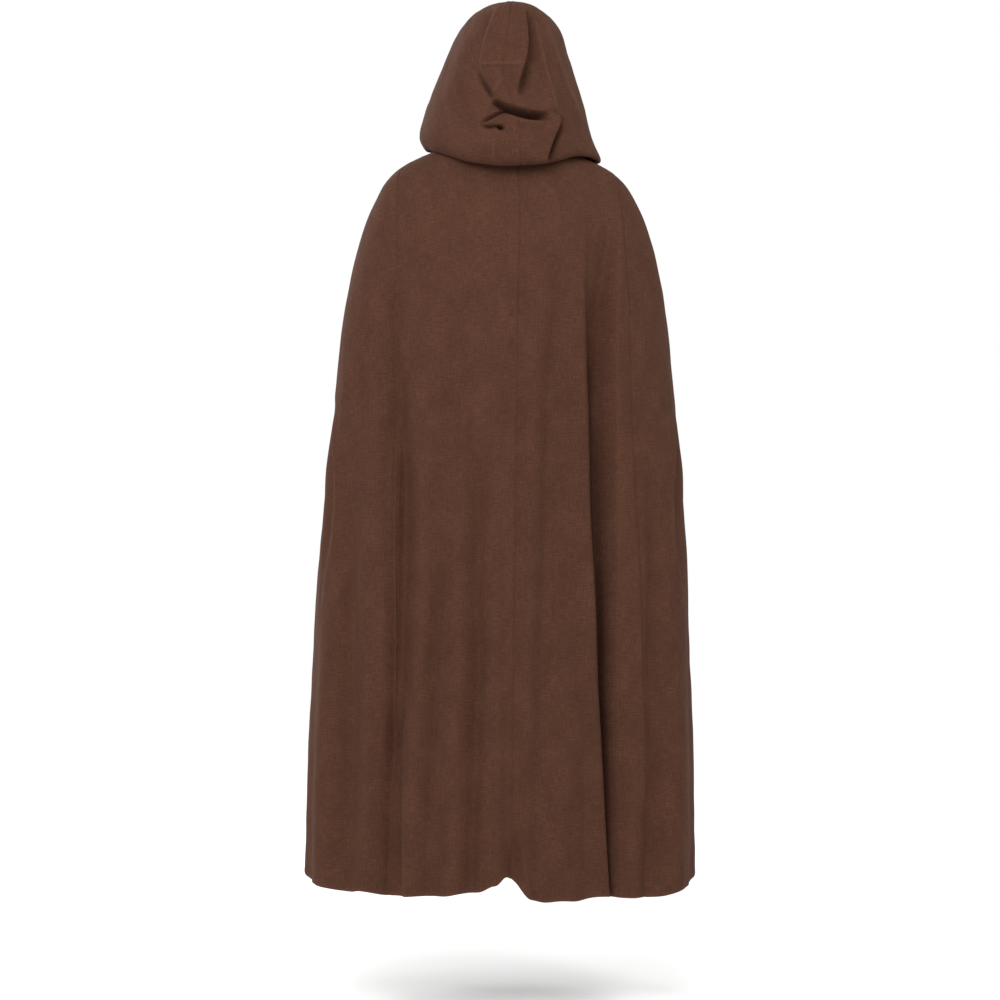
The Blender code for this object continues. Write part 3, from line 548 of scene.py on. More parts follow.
def cloth_shell(name, outer, seam_distance, edge_distance, laid, wear_and_highlight, seams, material):
    """A closed shell of cloth behind a grid of outer points, doubled where its edge is turned under, with
    the allowances of its seams pressed back inside. laid holds the distances across and down the cloth in
    metres. Its mark lightens the cloth: wear at its edges and seams, and on its pressed ridges wear with a
    painted highlight for the light they catch."""
    doubled = smoothstep(HEM_TURN + 0.001, HEM_TURN - 0.001, edge_distance)
    rounded = EDGE_ROUNDED * (edge_distance < 1e-6)[..., None]
    outward = outward_of(outer)
    inner = outer - outward * (CLOTH + TURNED_UNDER * doubled)[..., None] + outward * 1.5 * rounded
    worn = wear_and_highlight + np.exp(-edge_distance / EDGE_WEAR_REACH)
    worn = np.clip(worn + SEAM_WEAR * np.exp(-seam_distance / SEAM_WEAR_REACH), 0, 1)
    shells = [Shell(outer - outward * rounded, inner, laid, worn)]
    for edge in seams:
        strip, outwards, map_there = (
            np.stack([inside_edge(outer, edge, step, carried) for step in ALLOWANCE_STEPS], 1)
            for carried in (outer, outward, laid))
        strip[:, 0] = 2 * inside_edge(outer, edge, 0.0, outer) - strip[:, 0]
        grids = [strip - outwards * depth for depth in ALLOWANCE_FACES] + [map_there + ALLOWANCE_MAP_SHIFT]
        if edge in ("last", "top"):
            grids = [grid[:, ::-1] for grid in grids]
        shells.append(Shell(*grids, np.zeros(strip.shape[:2])))
    faces, first = [], 0
    for shell in shells:
        rows, columns = shell.worn.shape
        faces.append(closed_faces(rows, columns, first))
        first += 2 * rows * columns
    faces = np.concatenate(faces)
    points = np.concatenate([side.reshape(-1, 3) for shell in shells for side in shell[:2]])
    piece, mesh = new_piece(name, points.tolist(), faces.tolist(), material)
    mesh.update()
    flat_map = np.concatenate([np.tile(shell.laid.reshape(-1, 2), (2, 1)) for shell in shells])
    cut = mesh.uv_layers.new(name="cloth_map")
    cut.data.foreach_set("uv", flat_map.astype(np.float32)[faces.ravel()].ravel())
    mark = mesh.attributes.new("worn", "FLOAT", "POINT")
    wear_highlight_values = np.concatenate([np.tile(shell.worn.ravel(), 2) for shell in shells])
    mark.data.foreach_set("value", wear_highlight_values.astype(np.float32))
    mesh.shade_smooth()
    return piece


# The cloth's own unevenness, after a number that sets each ripple apart. The first two come with the hang
# of the cloth, and the last one only near the hem.
PANEL_RIPPLES = ((0, Ripple(0.0016, 0.060, 0.42)), (2, Ripple(0.0009, 0.026, 0.30)),
                 (3, Ripple(0.0006, 0.045, 0.050)), (4, Ripple(0.0007, 0.018, 0.080)))


def body_panel(name, first, last, shares, folds, swells, edges, seed):
    """A panel between two seams. edges says which of its first and last sides are turned edges. Returns the
    piece and its grid of outer points."""
    drops = TOTAL_DROP * crowded(PANEL_ROWS, [0.03, 0.10, 1.0], 0.035, 1.6)
    start = beside_seam(first(drops), drops, 1)[:, None]
    end = beside_seam(last(drops), drops, -1)[:, None]
    angle = start + (end - start) * shares[None, :]
    drop = np.broadcast_to(drops[:, None], angle.shape)
    plain = plain_body(angle, drop)
    widths = run_along(plain, 1)
    across = widths if edges[1] else widths - widths[:, -1:]
    folded, outward, wear_and_highlight = body_surface(angle, drop, folds, swells)
    sides = (("first", widths), ("last", widths[:, -1:] - widths))
    sewn = [side for side, turned in zip(sides, edges) if not turned]
    seam_distance = np.min([distance for _, distance in sewn], axis=0)
    turned_sides = [distance for (_, distance), turned in zip(sides, edges) if turned]
    edge_distance = np.min(turned_sides + [TOTAL_DROP - drop], axis=0)
    hang = smoothstep(0.05, 0.45, drop)
    near_hem = smoothstep(0.25, 0.0, TOTAL_DROP - drop)
    relief = sum(rippled(ripple, across, drop, seed + further) * where
                 for (further, ripple), where in zip(PANEL_RIPPLES, (hang, hang, 1, near_hem)))
    relief = relief * (1 - np.exp(-seam_distance / PLAIN_BESIDE_SEAM))
    relief += sewn_relief(seam_distance, edge_distance, across, drop, seed + 5)
    outer = folded + outward * relief[..., None]
    piece = cloth_shell(name, outer, seam_distance, edge_distance, np.stack([across, drop], -1), wear_and_highlight,
                        [side for side, _ in sewn], brown_cloth)
    return piece, outer


def woven_threads():
    """The cloth's weave as an effect: threads that run across and down, with thick places, uneven dye and
    lint, and lighter thread where it is worn at edges and seams and along pressed ridges, where that is a
    painted highlight as well. It takes the cloth's map in metres and gives the colour and the height of the
    threads."""
    group = bpy.data.node_groups.new("woven_threads", "ShaderNodeTree")
    group.interface.new_socket(name="Map", in_out="INPUT", socket_type="NodeSocketVector")
    for name, kind, value in (
        ("Cloth", "NodeSocketColor", (0.1, 0.05, 0.03, 1)),
        ("Dark thread", "NodeSocketColor", (0.05, 0.02, 0.01, 1)),
        ("Light thread", "NodeSocketColor", (0.2, 0.1, 0.07, 1)),
        ("Threads per metre", "NodeSocketFloat", 1100.0),
        ("Unevenness", "NodeSocketFloat", 1.0),
        ("Worn", "NodeSocketFloat", 0.0),
    ):
        socket = group.interface.new_socket(name=name, in_out="INPUT", socket_type=kind)
        socket.default_value = value
    group.interface.new_socket(name="Colour", in_out="OUTPUT", socket_type="NodeSocketColor")
    group.interface.new_socket(name="Height", in_out="OUTPUT", socket_type="NodeSocketFloat")
    nodes, links = group.nodes, group.links
    given, result = nodes.new("NodeGroupInput"), nodes.new("NodeGroupOutput")

    def maths(operation, *values):
        node = nodes.new("ShaderNodeMath")
        node.operation = operation
        for socket, value in zip(node.inputs, values):
            if isinstance(value, (int, float)):
                socket.default_value = value
            else:
                links.new(value, socket)
        return node.outputs[0]

    def stretched_noise(per_metre_across, per_metre_down, detail):
        scale = nodes.new("ShaderNodeVectorMath")
        scale.operation = "MULTIPLY"
        scale.inputs[1].default_value = (per_metre_across, per_metre_down, 1)
        links.new(given.outputs["Map"], scale.inputs[0])
        texture = nodes.new("ShaderNodeTexNoise")
        texture.inputs["Scale"].default_value = 1.0
        texture.inputs["Detail"].default_value = detail
        links.new(scale.outputs["Vector"], texture.inputs["Vector"])
        return texture.outputs["Fac"]

    def mixed(amount, first, second):
        node = nodes.new("ShaderNodeMix")
        node.data_type = "RGBA"
        links.new(amount, node.inputs["Factor"])
        links.new(first, node.inputs["A"])
        links.new(second, node.inputs["B"])
        return node.outputs["Result"]

    def summed(*values):
        total = values[0]
        for value in values[1:]:
            total = maths("ADD", total, value)
        return total

    def within_one(value):
        return maths("MINIMUM", maths("MAXIMUM", value, 0.0), 1.0)

    down_slubs = stretched_noise(640, 60, 2)
    across_slubs = stretched_noise(60, 600, 2)
    down_streaks = stretched_noise(260, 9, 1)
    grain = stretched_noise(430, 430, 2)
    dye = stretched_noise(26, 14, 3)
    broad_dye = stretched_noise(5, 3, 2)
    split = nodes.new("ShaderNodeSeparateXYZ")
    links.new(given.outputs["Map"], split.inputs[0])
    pitch = maths("MULTIPLY", given.outputs["Threads per metre"], math.pi)
    warp = maths("SINE", maths("MULTIPLY", split.outputs["X"], pitch))
    weft = maths("SINE", maths("MULTIPLY", split.outputs["Y"], pitch))
    over_under = maths("MULTIPLY", warp, weft)

    def centred(value, amount):
        return maths("MULTIPLY", maths("SUBTRACT", value, 0.5), amount)

    shade = summed(centred(down_slubs, 1.3), centred(across_slubs, 1.5), centred(down_streaks, 0.25),
                   centred(grain, 1.2), centred(dye, 0.9), centred(broad_dye, 0.25),
                   maths("MULTIPLY", over_under, 0.08))
    shade = maths("MULTIPLY", shade, given.outputs["Unevenness"])
    darker, lighter = within_one(maths("MULTIPLY", shade, -1.0)), within_one(shade)
    colour = mixed(darker, given.outputs["Cloth"], given.outputs["Dark thread"])
    colour = mixed(lighter, colour, given.outputs["Light thread"])
    # Lighter thread along worn edges and seams, and a painted highlight along pressed ridges.
    wear_and_highlight = maths("MULTIPLY", given.outputs["Worn"], maths("ADD", maths("MULTIPLY", down_slubs, 0.6), 0.3))
    colour = mixed(wear_and_highlight, colour, given.outputs["Light thread"])
    links.new(colour, result.inputs["Colour"])
    height = summed(maths("MULTIPLY", over_under, 0.35), centred(down_slubs, 1.0),
                    centred(across_slubs, 1.0), centred(grain, 0.5))
    links.new(height, result.inputs["Height"])
    return group


THREADS = woven_threads()
THREAD_HEIGHT = 0.0004
CLOTH_ROUGHNESS = 0.92
CLOTH_SPECULAR = 0.08
CLOTH_SHEEN = 0.03
CLOTH_SHEEN_ROUGHNESS = 0.35
CLOTH_SHEEN_TINT = (0.90, 0.52, 0.36, 1)


def woven_cloth(name, cloth, dark, light, threads, unevenness, bump):
    """Matte woven cloth of one colour, from the weave effect."""
    material, tree, shader = new_nodes(name)
    laid = tree.nodes.new("ShaderNodeUVMap")
    laid.uv_map = "cloth_map"
    # The mark of wear at edges and seams, with a painted highlight on pressed ridges.
    worn = tree.nodes.new("ShaderNodeAttribute")
    worn.attribute_name = "worn"
    weave = tree.nodes.new("ShaderNodeGroup")
    weave.node_tree = THREADS
    for socket, value in (("Cloth", cloth), ("Dark thread", dark), ("Light thread", light),
                          ("Threads per metre", threads), ("Unevenness", unevenness)):
        weave.inputs[socket].default_value = value
    relief = tree.nodes.new("ShaderNodeBump")
    relief.inputs["Strength"].default_value = bump
    relief.inputs["Distance"].default_value = THREAD_HEIGHT
    tree.links.new(laid.outputs["UV"], weave.inputs["Map"])
    tree.links.new(worn.outputs["Fac"], weave.inputs["Worn"])
    tree.links.new(weave.outputs["Colour"], shader.inputs["Base Color"])
    tree.links.new(weave.outputs["Height"], relief.inputs["Height"])
    tree.links.new(relief.outputs["Normal"], shader.inputs["Normal"])
    shader.inputs["Roughness"].default_value = CLOTH_ROUGHNESS
    shader.inputs["Specular IOR Level"].default_value = CLOTH_SPECULAR
    shader.inputs["Sheen Weight"].default_value = CLOTH_SHEEN
    shader.inputs["Sheen Roughness"].default_value = CLOTH_SHEEN_ROUGHNESS
    shader.inputs["Sheen Tint"].default_value = CLOTH_SHEEN_TINT
    return material


THREAD_TWIST_WAVERS = 1.5
THREAD_ROUGHNESS = 0.7
THREAD_SPECULAR = 0.3


def twisted_thread(name, colour, shadow, twists):
    """Matte cotton thread, with the slanting dark lines of its twist."""
    material, tree, shader = new_nodes(name)
    place = tree.nodes.new("ShaderNodeTexCoord")
    twist = tree.nodes.new("ShaderNodeTexWave")
    twist.bands_direction = "DIAGONAL"
    twist.inputs["Scale"].default_value = twists
    twist.inputs["Distortion"].default_value = THREAD_TWIST_WAVERS
    blend = tree.nodes.new("ShaderNodeMix")
    blend.data_type = "RGBA"
    blend.inputs["A"].default_value, blend.inputs["B"].default_value = shadow, colour
    tree.links.new(place.outputs["Object"], twist.inputs["Vector"])
    tree.links.new(twist.outputs["Fac"], blend.inputs["Factor"])
    tree.links.new(blend.outputs["Result"], shader.inputs["Base Color"])
    shader.inputs["Roughness"].default_value = THREAD_ROUGHNESS
    shader.inputs["Specular IOR Level"].default_value = THREAD_SPECULAR
    return material


brown_cloth = woven_cloth("brown_cloth", (0.0605, 0.0253, 0.0153, 1), (0.0366, 0.0145, 0.0085, 1),
                          (0.0970, 0.0435, 0.0278, 1), 1150.0, 1.0, 0.55)
sewing_thread = twisted_thread("sewing_thread", (0.066, 0.027, 0.018, 1), (0.040, 0.016, 0.010, 1), 900.0)

STITCHES_IN = 0.0122
STITCH_LENGTH = 0.0031
STITCH_PITCH = 0.0041
FIRST_STITCH = 0.002
THREAD = 0.00042
THREAD_SUNK = 0.35
# Along the stitch, and then its width and height in threads.
THREAD_RINGS = ((0.0, 0.30, 0.10), (0.18, 0.50, 0.55), (0.82, 0.50, 0.55), (1.0, 0.30, 0.10))


def stitch_line(name, outer, edge):
    """A row of stitches a hem's width inside a turned edge, each a short rounded length of thread."""
    line = inside_edge(outer, edge, STITCHES_IN, outer)
    outward = inside_edge(outer, edge, STITCHES_IN, outward_of(outer))
    run = run_along(line[None], 1)[0]
    starts = np.arange(FIRST_STITCH, run[-1] - STITCH_LENGTH, STITCH_PITCH)
    shares = np.array(THREAD_RINGS)

    def read(values, at):
        return np.stack([np.interp(at, run, values[:, k]) for k in range(3)], -1)

    points, faces = [], []
    for start in starts:
        along = read(line, start + STITCH_LENGTH * shares[:, 0])
        up = unit(read(outward, start + STITCH_LENGTH * shares[:, 0]))
        beside = unit(np.cross(up, along[-1] - along[0]))
        first = len(points)
        for place, rise, across, (_, wide, high) in zip(along, up, beside, shares):
            middle = place + rise * (high - THREAD_SUNK) * THREAD
            points += [middle + across * wide * THREAD, middle + rise * high * THREAD,
                       middle - across * wide * THREAD]
        for ring in range(len(shares) - 1):
            a = first + 3 * ring
            faces += [(a, a + 3, a + 4, a + 1), (a + 1, a + 4, a + 5, a + 2), (a + 2, a + 5, a + 3, a)]
        last = first + 3 * (len(shares) - 1)
        faces += [(first, first + 1, first + 2), (last, last + 2, last + 1)]
    piece, mesh = new_piece(name, [tuple(point) for point in points], faces, sewing_thread)
    mesh.shade_smooth()
    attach(piece, "root")


for name, first, last, count, crowd, seed, size, area in (
    ("back_left", "centre_back", "left_side", LEFT_BACK_COLUMNS, [0.02, 0.80], 1, (0.40, 1.56), 0.352),
    ("back_right", "right_side", "centre_back", RIGHT_BACK_COLUMNS, [0.36, 0.42], 11, (0.42, 1.56), 0.385),
):
    shares = crowded(count, crowd, 0.10, 1.6)
    piece, outer = body_panel(name + "_cloth", seam(first), seam(last), shares, BACK_FOLDS, BACK_SWELLS,
                              (False, False), seed)
    stitch_line(name + "_hem_stitches", outer, "hem")
    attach(piece, "root")
    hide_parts(name)

# The fronts. Two wide lengths of the same cloth, sewn to the back panels and brought round over the
# shoulders to the front edges, which are turned under and stitched. They stand out a little about a third
# of the way down, and hang in broad folds below.
FRONT_COLUMNS = 145
NECK_GAP = 0.046
HEM_GAP = 0.120
FRONT_EDGE_WAVE = 0.010
EDGE_WAVES_A_METRE = 1.3
RIGHT_EDGE_PHASE = 2.2
FRONT_FOLDS = BACK_FOLDS + [
    Fold("left elbow crease", -0.010, 0.008, 0.020, 0, 0, ((-.47, 85, 0), (-.53, 82, .8),
        (-.605, 74.6, 1), (-.721, 72, .9), (-.80, 74, .5), (-.87, 77, 0))),
    Fold("left elbow edge", 0.0040, 0.010, 0.004, .6, 0, ((-.49, 80, 0), (-.54, 76.4, 1),
        (-.605, 69, 1), (-.70, 66, .9), (-.80, 67, 0))),
    Fold("right elbow crease", -0.010, 0.020, 0.008, 0, 0, ((-.48, -85, 0), (-.545, -81, .8),
        (-.629, -73.4, 1), (-.721, -71, .9), (-.80, -73, .5), (-.87, -76, 0))),
    Fold("right elbow edge", 0.0040, 0.004, 0.010, .6, 0, ((-.50, -79, 0), (-.55, -75.4, 1),
        (-.629, -68, 1), (-.72, -64, .9), (-.80, -65, 0))),
    Fold("left arm ridge", 0.009, 0.026, 0.030, 0, 0, ((-.84, 64, 0), (-1, 63, .7), (-1.12, 62.2, 1),
        (HEM_Z, 61, 1))),
    Fold("right arm ridge", 0.008, 0.030, 0.026, 0, 0, ((-.86, -62, 0), (-1.02, -61.4, .7),
        (-1.15, -61, 1), (HEM_Z, -60, 1))),
    Fold("left outer valley", -0.008, 0.024, 0.030, 0, 0, ((-.78, 80, 0), (-1, 79, .7), (-1.15, 78, 1),
        (HEM_Z, 77, 1))),
    Fold("right outer valley", -0.007, 0.030, 0.024, 0, 0, ((-.80, -82, 0), (-.97, -80.4, .7),
        (-1.10, -79.4, 1), (HEM_Z, -78, 1))),
    Fold("left front ridge", 0.014, 0.022, 0.016, .2, 0, ((-.50, 99, 0), (-.72, 100.6, .6),
        (-.95, 102, 1), (HEM_Z, 104, 1))),
    Fold("left front valley", -0.028, 0.030, 0.024, 0, 0, ((-.40, 110, 0), (-.62, 112, .6),
        (-.85, 113.6, 1), (HEM_Z, 116, 1))),
    Fold("left chest ridge", 0.016, 0.024, 0.016, .2, 0, ((-.45, 124, 0), (-.68, 125.6, .6),
        (-.90, 127, 1), (HEM_Z, 129, 1))),
    Fold("left chest valley", -0.030, 0.020, 0.034, 0, 0, ((-.14, 132, 0), (-.45, 135.6, .5),
        (-.75, 138, 1), (HEM_Z, 140, 1))),
    Fold("left edge ridge", 0.016, 0.026, 0.020, .2, 0, ((-.12, 150, 0), (-.45, 152.4, .5),
        (-.80, 154, 1), (HEM_Z, 156, 1))),
    Fold("left neck pull", -0.007, 0.009, 0.014, 0, 0, ((-.016, 158, 0), (-.06, 150, .8),
        (-.14, 140, 1), (-.28, 131, .6), (-.42, 126, 0))),
    Fold("left shoulder pull", -0.005, 0.008, 0.013, 0, 0, ((-.018, 138, 0), (-.05, 126, .8),
        (-.11, 117, 1), (-.22, 110, .5), (-.34, 108, 0))),
    Fold("left shoulder fold", -0.006, 0.011, 0.018, 0, 0, ((-.05, 100, 0), (-.12, 97, .8),
        (-.26, 95, 1), (-.46, 92, 0))),
    Fold("right front ridge", 0.013, 0.016, 0.024, .2, 0, ((-.52, -102, 0), (-.74, -104, .6),
        (-.95, -105.6, 1), (HEM_Z, -108, 1))),
    Fold("right front valley", -0.030, 0.024, 0.032, 0, 0, ((-.44, -113, 0), (-.66, -116, .6),
        (-.90, -118.4, 1), (HEM_Z, -121, 1))),
    Fold("right chest ridge", 0.016, 0.016, 0.024, .2, 0, ((-.40, -127, 0), (-.64, -129.4, .6),
        (-.85, -131, 1), (HEM_Z, -133, 1))),
    Fold("right chest valley", -0.026, 0.034, 0.022, 0, 0, ((-.18, -136, 0), (-.44, -139.6, .5),
        (-.70, -142, 1), (HEM_Z, -144, 1))),
    Fold("right edge ridge", 0.014, 0.020, 0.022, .2, 0, ((-.16, -154, 0), (-.5, -156.4, .5),
        (-.85, -158, 1), (HEM_Z, -160, 1))),
    Fold("right neck pull", -0.006, 0.013, 0.009, 0, 0, ((-.016, -160, 0), (-.055, -151, .8),
        (-.13, -142, 1), (-.25, -134, .6), (-.38, -129, 0))),
    Fold("right shoulder pull", -0.0055, 0.012, 0.008, 0, 0, ((-.02, -134, 0), (-.055, -123, .8),
        (-.12, -115, 1), (-.22, -109, .5), (-.33, -106, 0))),
    Fold("right shoulder fold", -0.006, 0.016, 0.011, 0, 0, ((-.055, -98, 0), (-.13, -96, .8),
        (-.25, -93, 1), (-.44, -91, 0))),
]
FRONT_SWELLS = BACK_SWELLS + [
    Swell(88, -0.60, 0.070, 0.070, 0.0040),
    Swell(-88, -0.60, 0.070, 0.070, 0.0040),
    Swell(74, -0.50, 0.050, 0.014, -0.0026),
    Swell(96, -0.66, 0.045, 0.012, -0.0026),
    Swell(-76, -0.51, 0.050, 0.013, -0.0026),
    Swell(-98, -0.67, 0.045, 0.012, -0.0026),
    Swell(118, -0.57, 0.040, 0.020, 0.0024),
    Swell(-120, -0.58, 0.045, 0.022, 0.0024),
]


def edge_angle(drop, phase=0.0):
    """The angle of a front edge. The two hang apart at the centre front and wave a little."""
    gap = NECK_GAP + (HEM_GAP - NECK_GAP) * smoothstep(0.05, TOTAL_DROP, drop)
    wave = np.sin(EDGE_WAVES_A_METRE * 2 * math.pi * drop + phase)
    gap = gap + FRONT_EDGE_WAVE * wave * smoothstep(0.2, 0.6, drop)
    share = (gap / 2) / section_value("half_width", drop)
    return 180 - np.degrees(np.arcsin(share ** (SQUARENESS / 2)))


def right_edge_angle(drop):
    return -edge_angle(drop, RIGHT_EDGE_PHASE)


edge_shares = crowded(FRONT_COLUMNS, [0.15, 1.0], 0.10, 0.8)
for name, first, last, shares, edges, seed in (
    ("front_left", seam("left_side"), edge_angle, edge_shares, (False, True), 21),
    ("front_right", right_edge_angle, seam("right_side"), 1 - edge_shares[::-1], (True, False), 31),
):
    piece, outer = body_panel(name + "_cloth", first, last, shares, FRONT_FOLDS, FRONT_SWELLS, edges, seed)
    stitch_line(name + "_hem_stitches", outer, "hem")
    stitch_line(name + "_edge_stitches", outer, "last" if edges[1] else "first")
    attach(piece, "root")
    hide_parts(name)

# The hood. Two halves of the same cloth, joined by a seam over the crown and down the back, gathered into
# the neck seam, with a turned and stitched face edge. It is roomy: its peak has sunk at the back and lies
# folded on itself, and the slack below it hangs over the neck seam and rolls under on the shoulders.
HOOD_SIDE_Y_CROWN = -0.030
HOOD_SIDE_Y_NECK = 0.000
HOOD_RIGHT_DROP = 0.022
HOOD_RIGHT_SPREAD = 0.024
HOOD_REST = 0.0022
HOOD_SEAM_SHIFT = 0.095
HOOD_SEAM_BEND = 0.03
HOOD_ROWS = 250
HOOD_LEFT_COLUMNS = 125
HOOD_RIGHT_COLUMNS = 150

# Sections from the crown seam down to the neck: the lean to the left, then the points at the centre back,
# at the widest place of the side, and on the edge of the face opening.
HoodSection = namedtuple("HoodSection", "lean back_y back_z side_x side_z face_x face_y face_z")
HOOD_SECTIONS = [
    HoodSection(-0.008, 0.066, 0.258, 0.000, 0.268, 0.000, -0.141, 0.251),
    HoodSection(-0.008, 0.080, 0.253, 0.031, 0.265, 0.022, -0.140, 0.248),
    HoodSection(-0.008, 0.098, 0.242, 0.062, 0.252, 0.043, -0.138, 0.240),
    HoodSection(-0.007, 0.117, 0.222, 0.087, 0.230, 0.064, -0.135, 0.226),
    HoodSection(-0.006, 0.132, 0.194, 0.102, 0.204, 0.079, -0.131, 0.206),
    HoodSection(-0.003, 0.142, 0.162, 0.112, 0.174, 0.088, -0.126, 0.184),
    HoodSection(-0.001, 0.148, 0.128, 0.124, 0.142, 0.091, -0.121, 0.160),
    HoodSection(0.001, 0.152, 0.094, 0.135, 0.110, 0.090, -0.116, 0.136),
    HoodSection(0.002, 0.157, 0.056, 0.147, 0.076, 0.085, -0.111, 0.110),
    HoodSection(0.002, 0.160, 0.018, 0.156, 0.044, 0.077, -0.106, 0.084),
    HoodSection(0.001, 0.160, -0.020, 0.163, 0.018, 0.067, -0.100, 0.060),
    HoodSection(0.000, 0.154, -0.046, 0.160, 0.001, 0.057, -0.094, 0.040),
    HoodSection(0.000, 0.138, -0.057, 0.151, -0.011, 0.047, -0.088, 0.022),
    HoodSection(0.000, 0.120, -0.044, 0.137, -0.012, 0.038, -0.082, 0.005),
    HoodSection(0.000, 0.098, -0.009, 0.113, -0.006, 0.030, -0.077, -0.006),
    HoodSection(0.000, 0.076, 0.012, 0.086, -0.004, 0.023, -0.070, -0.019),
]

# The sunken peak: a patch of doubled cloth on the hood's back, from its top down, with its two edges as
# seen from behind and how far it stands out.
Peak = namedtuple("Peak", "z left right height")
PEAK = [
    Peak(0.252, 0.014, -0.030, 0.0000),
    Peak(0.234, 0.020, -0.034, 0.0035),
    Peak(0.211, 0.027, -0.035, 0.0065),
    Peak(0.188, 0.034, -0.036, 0.0090),
    Peak(0.150, 0.042, -0.035, 0.0115),
    Peak(0.126, 0.045, -0.031, 0.0125),
    Peak(0.118, 0.044, -0.029, 0.0112),
    Peak(0.105, 0.041, -0.026, 0.0085),
    Peak(0.090, 0.035, -0.022, 0.0055),
    Peak(0.068, 0.026, -0.019, 0.0000),
]
PEAK_LEFT_SOFT = 0.0050
PEAK_RIGHT_SOFT = 0.0020
# How wide the lighter line on a pressed fold of the hood is: wear, and a painted highlight.
HOOD_RIDGE_HIGHLIGHT_REACH = 0.0017
FALLS_ABOVE, FALLS_BELOW = 0.003, 0.013

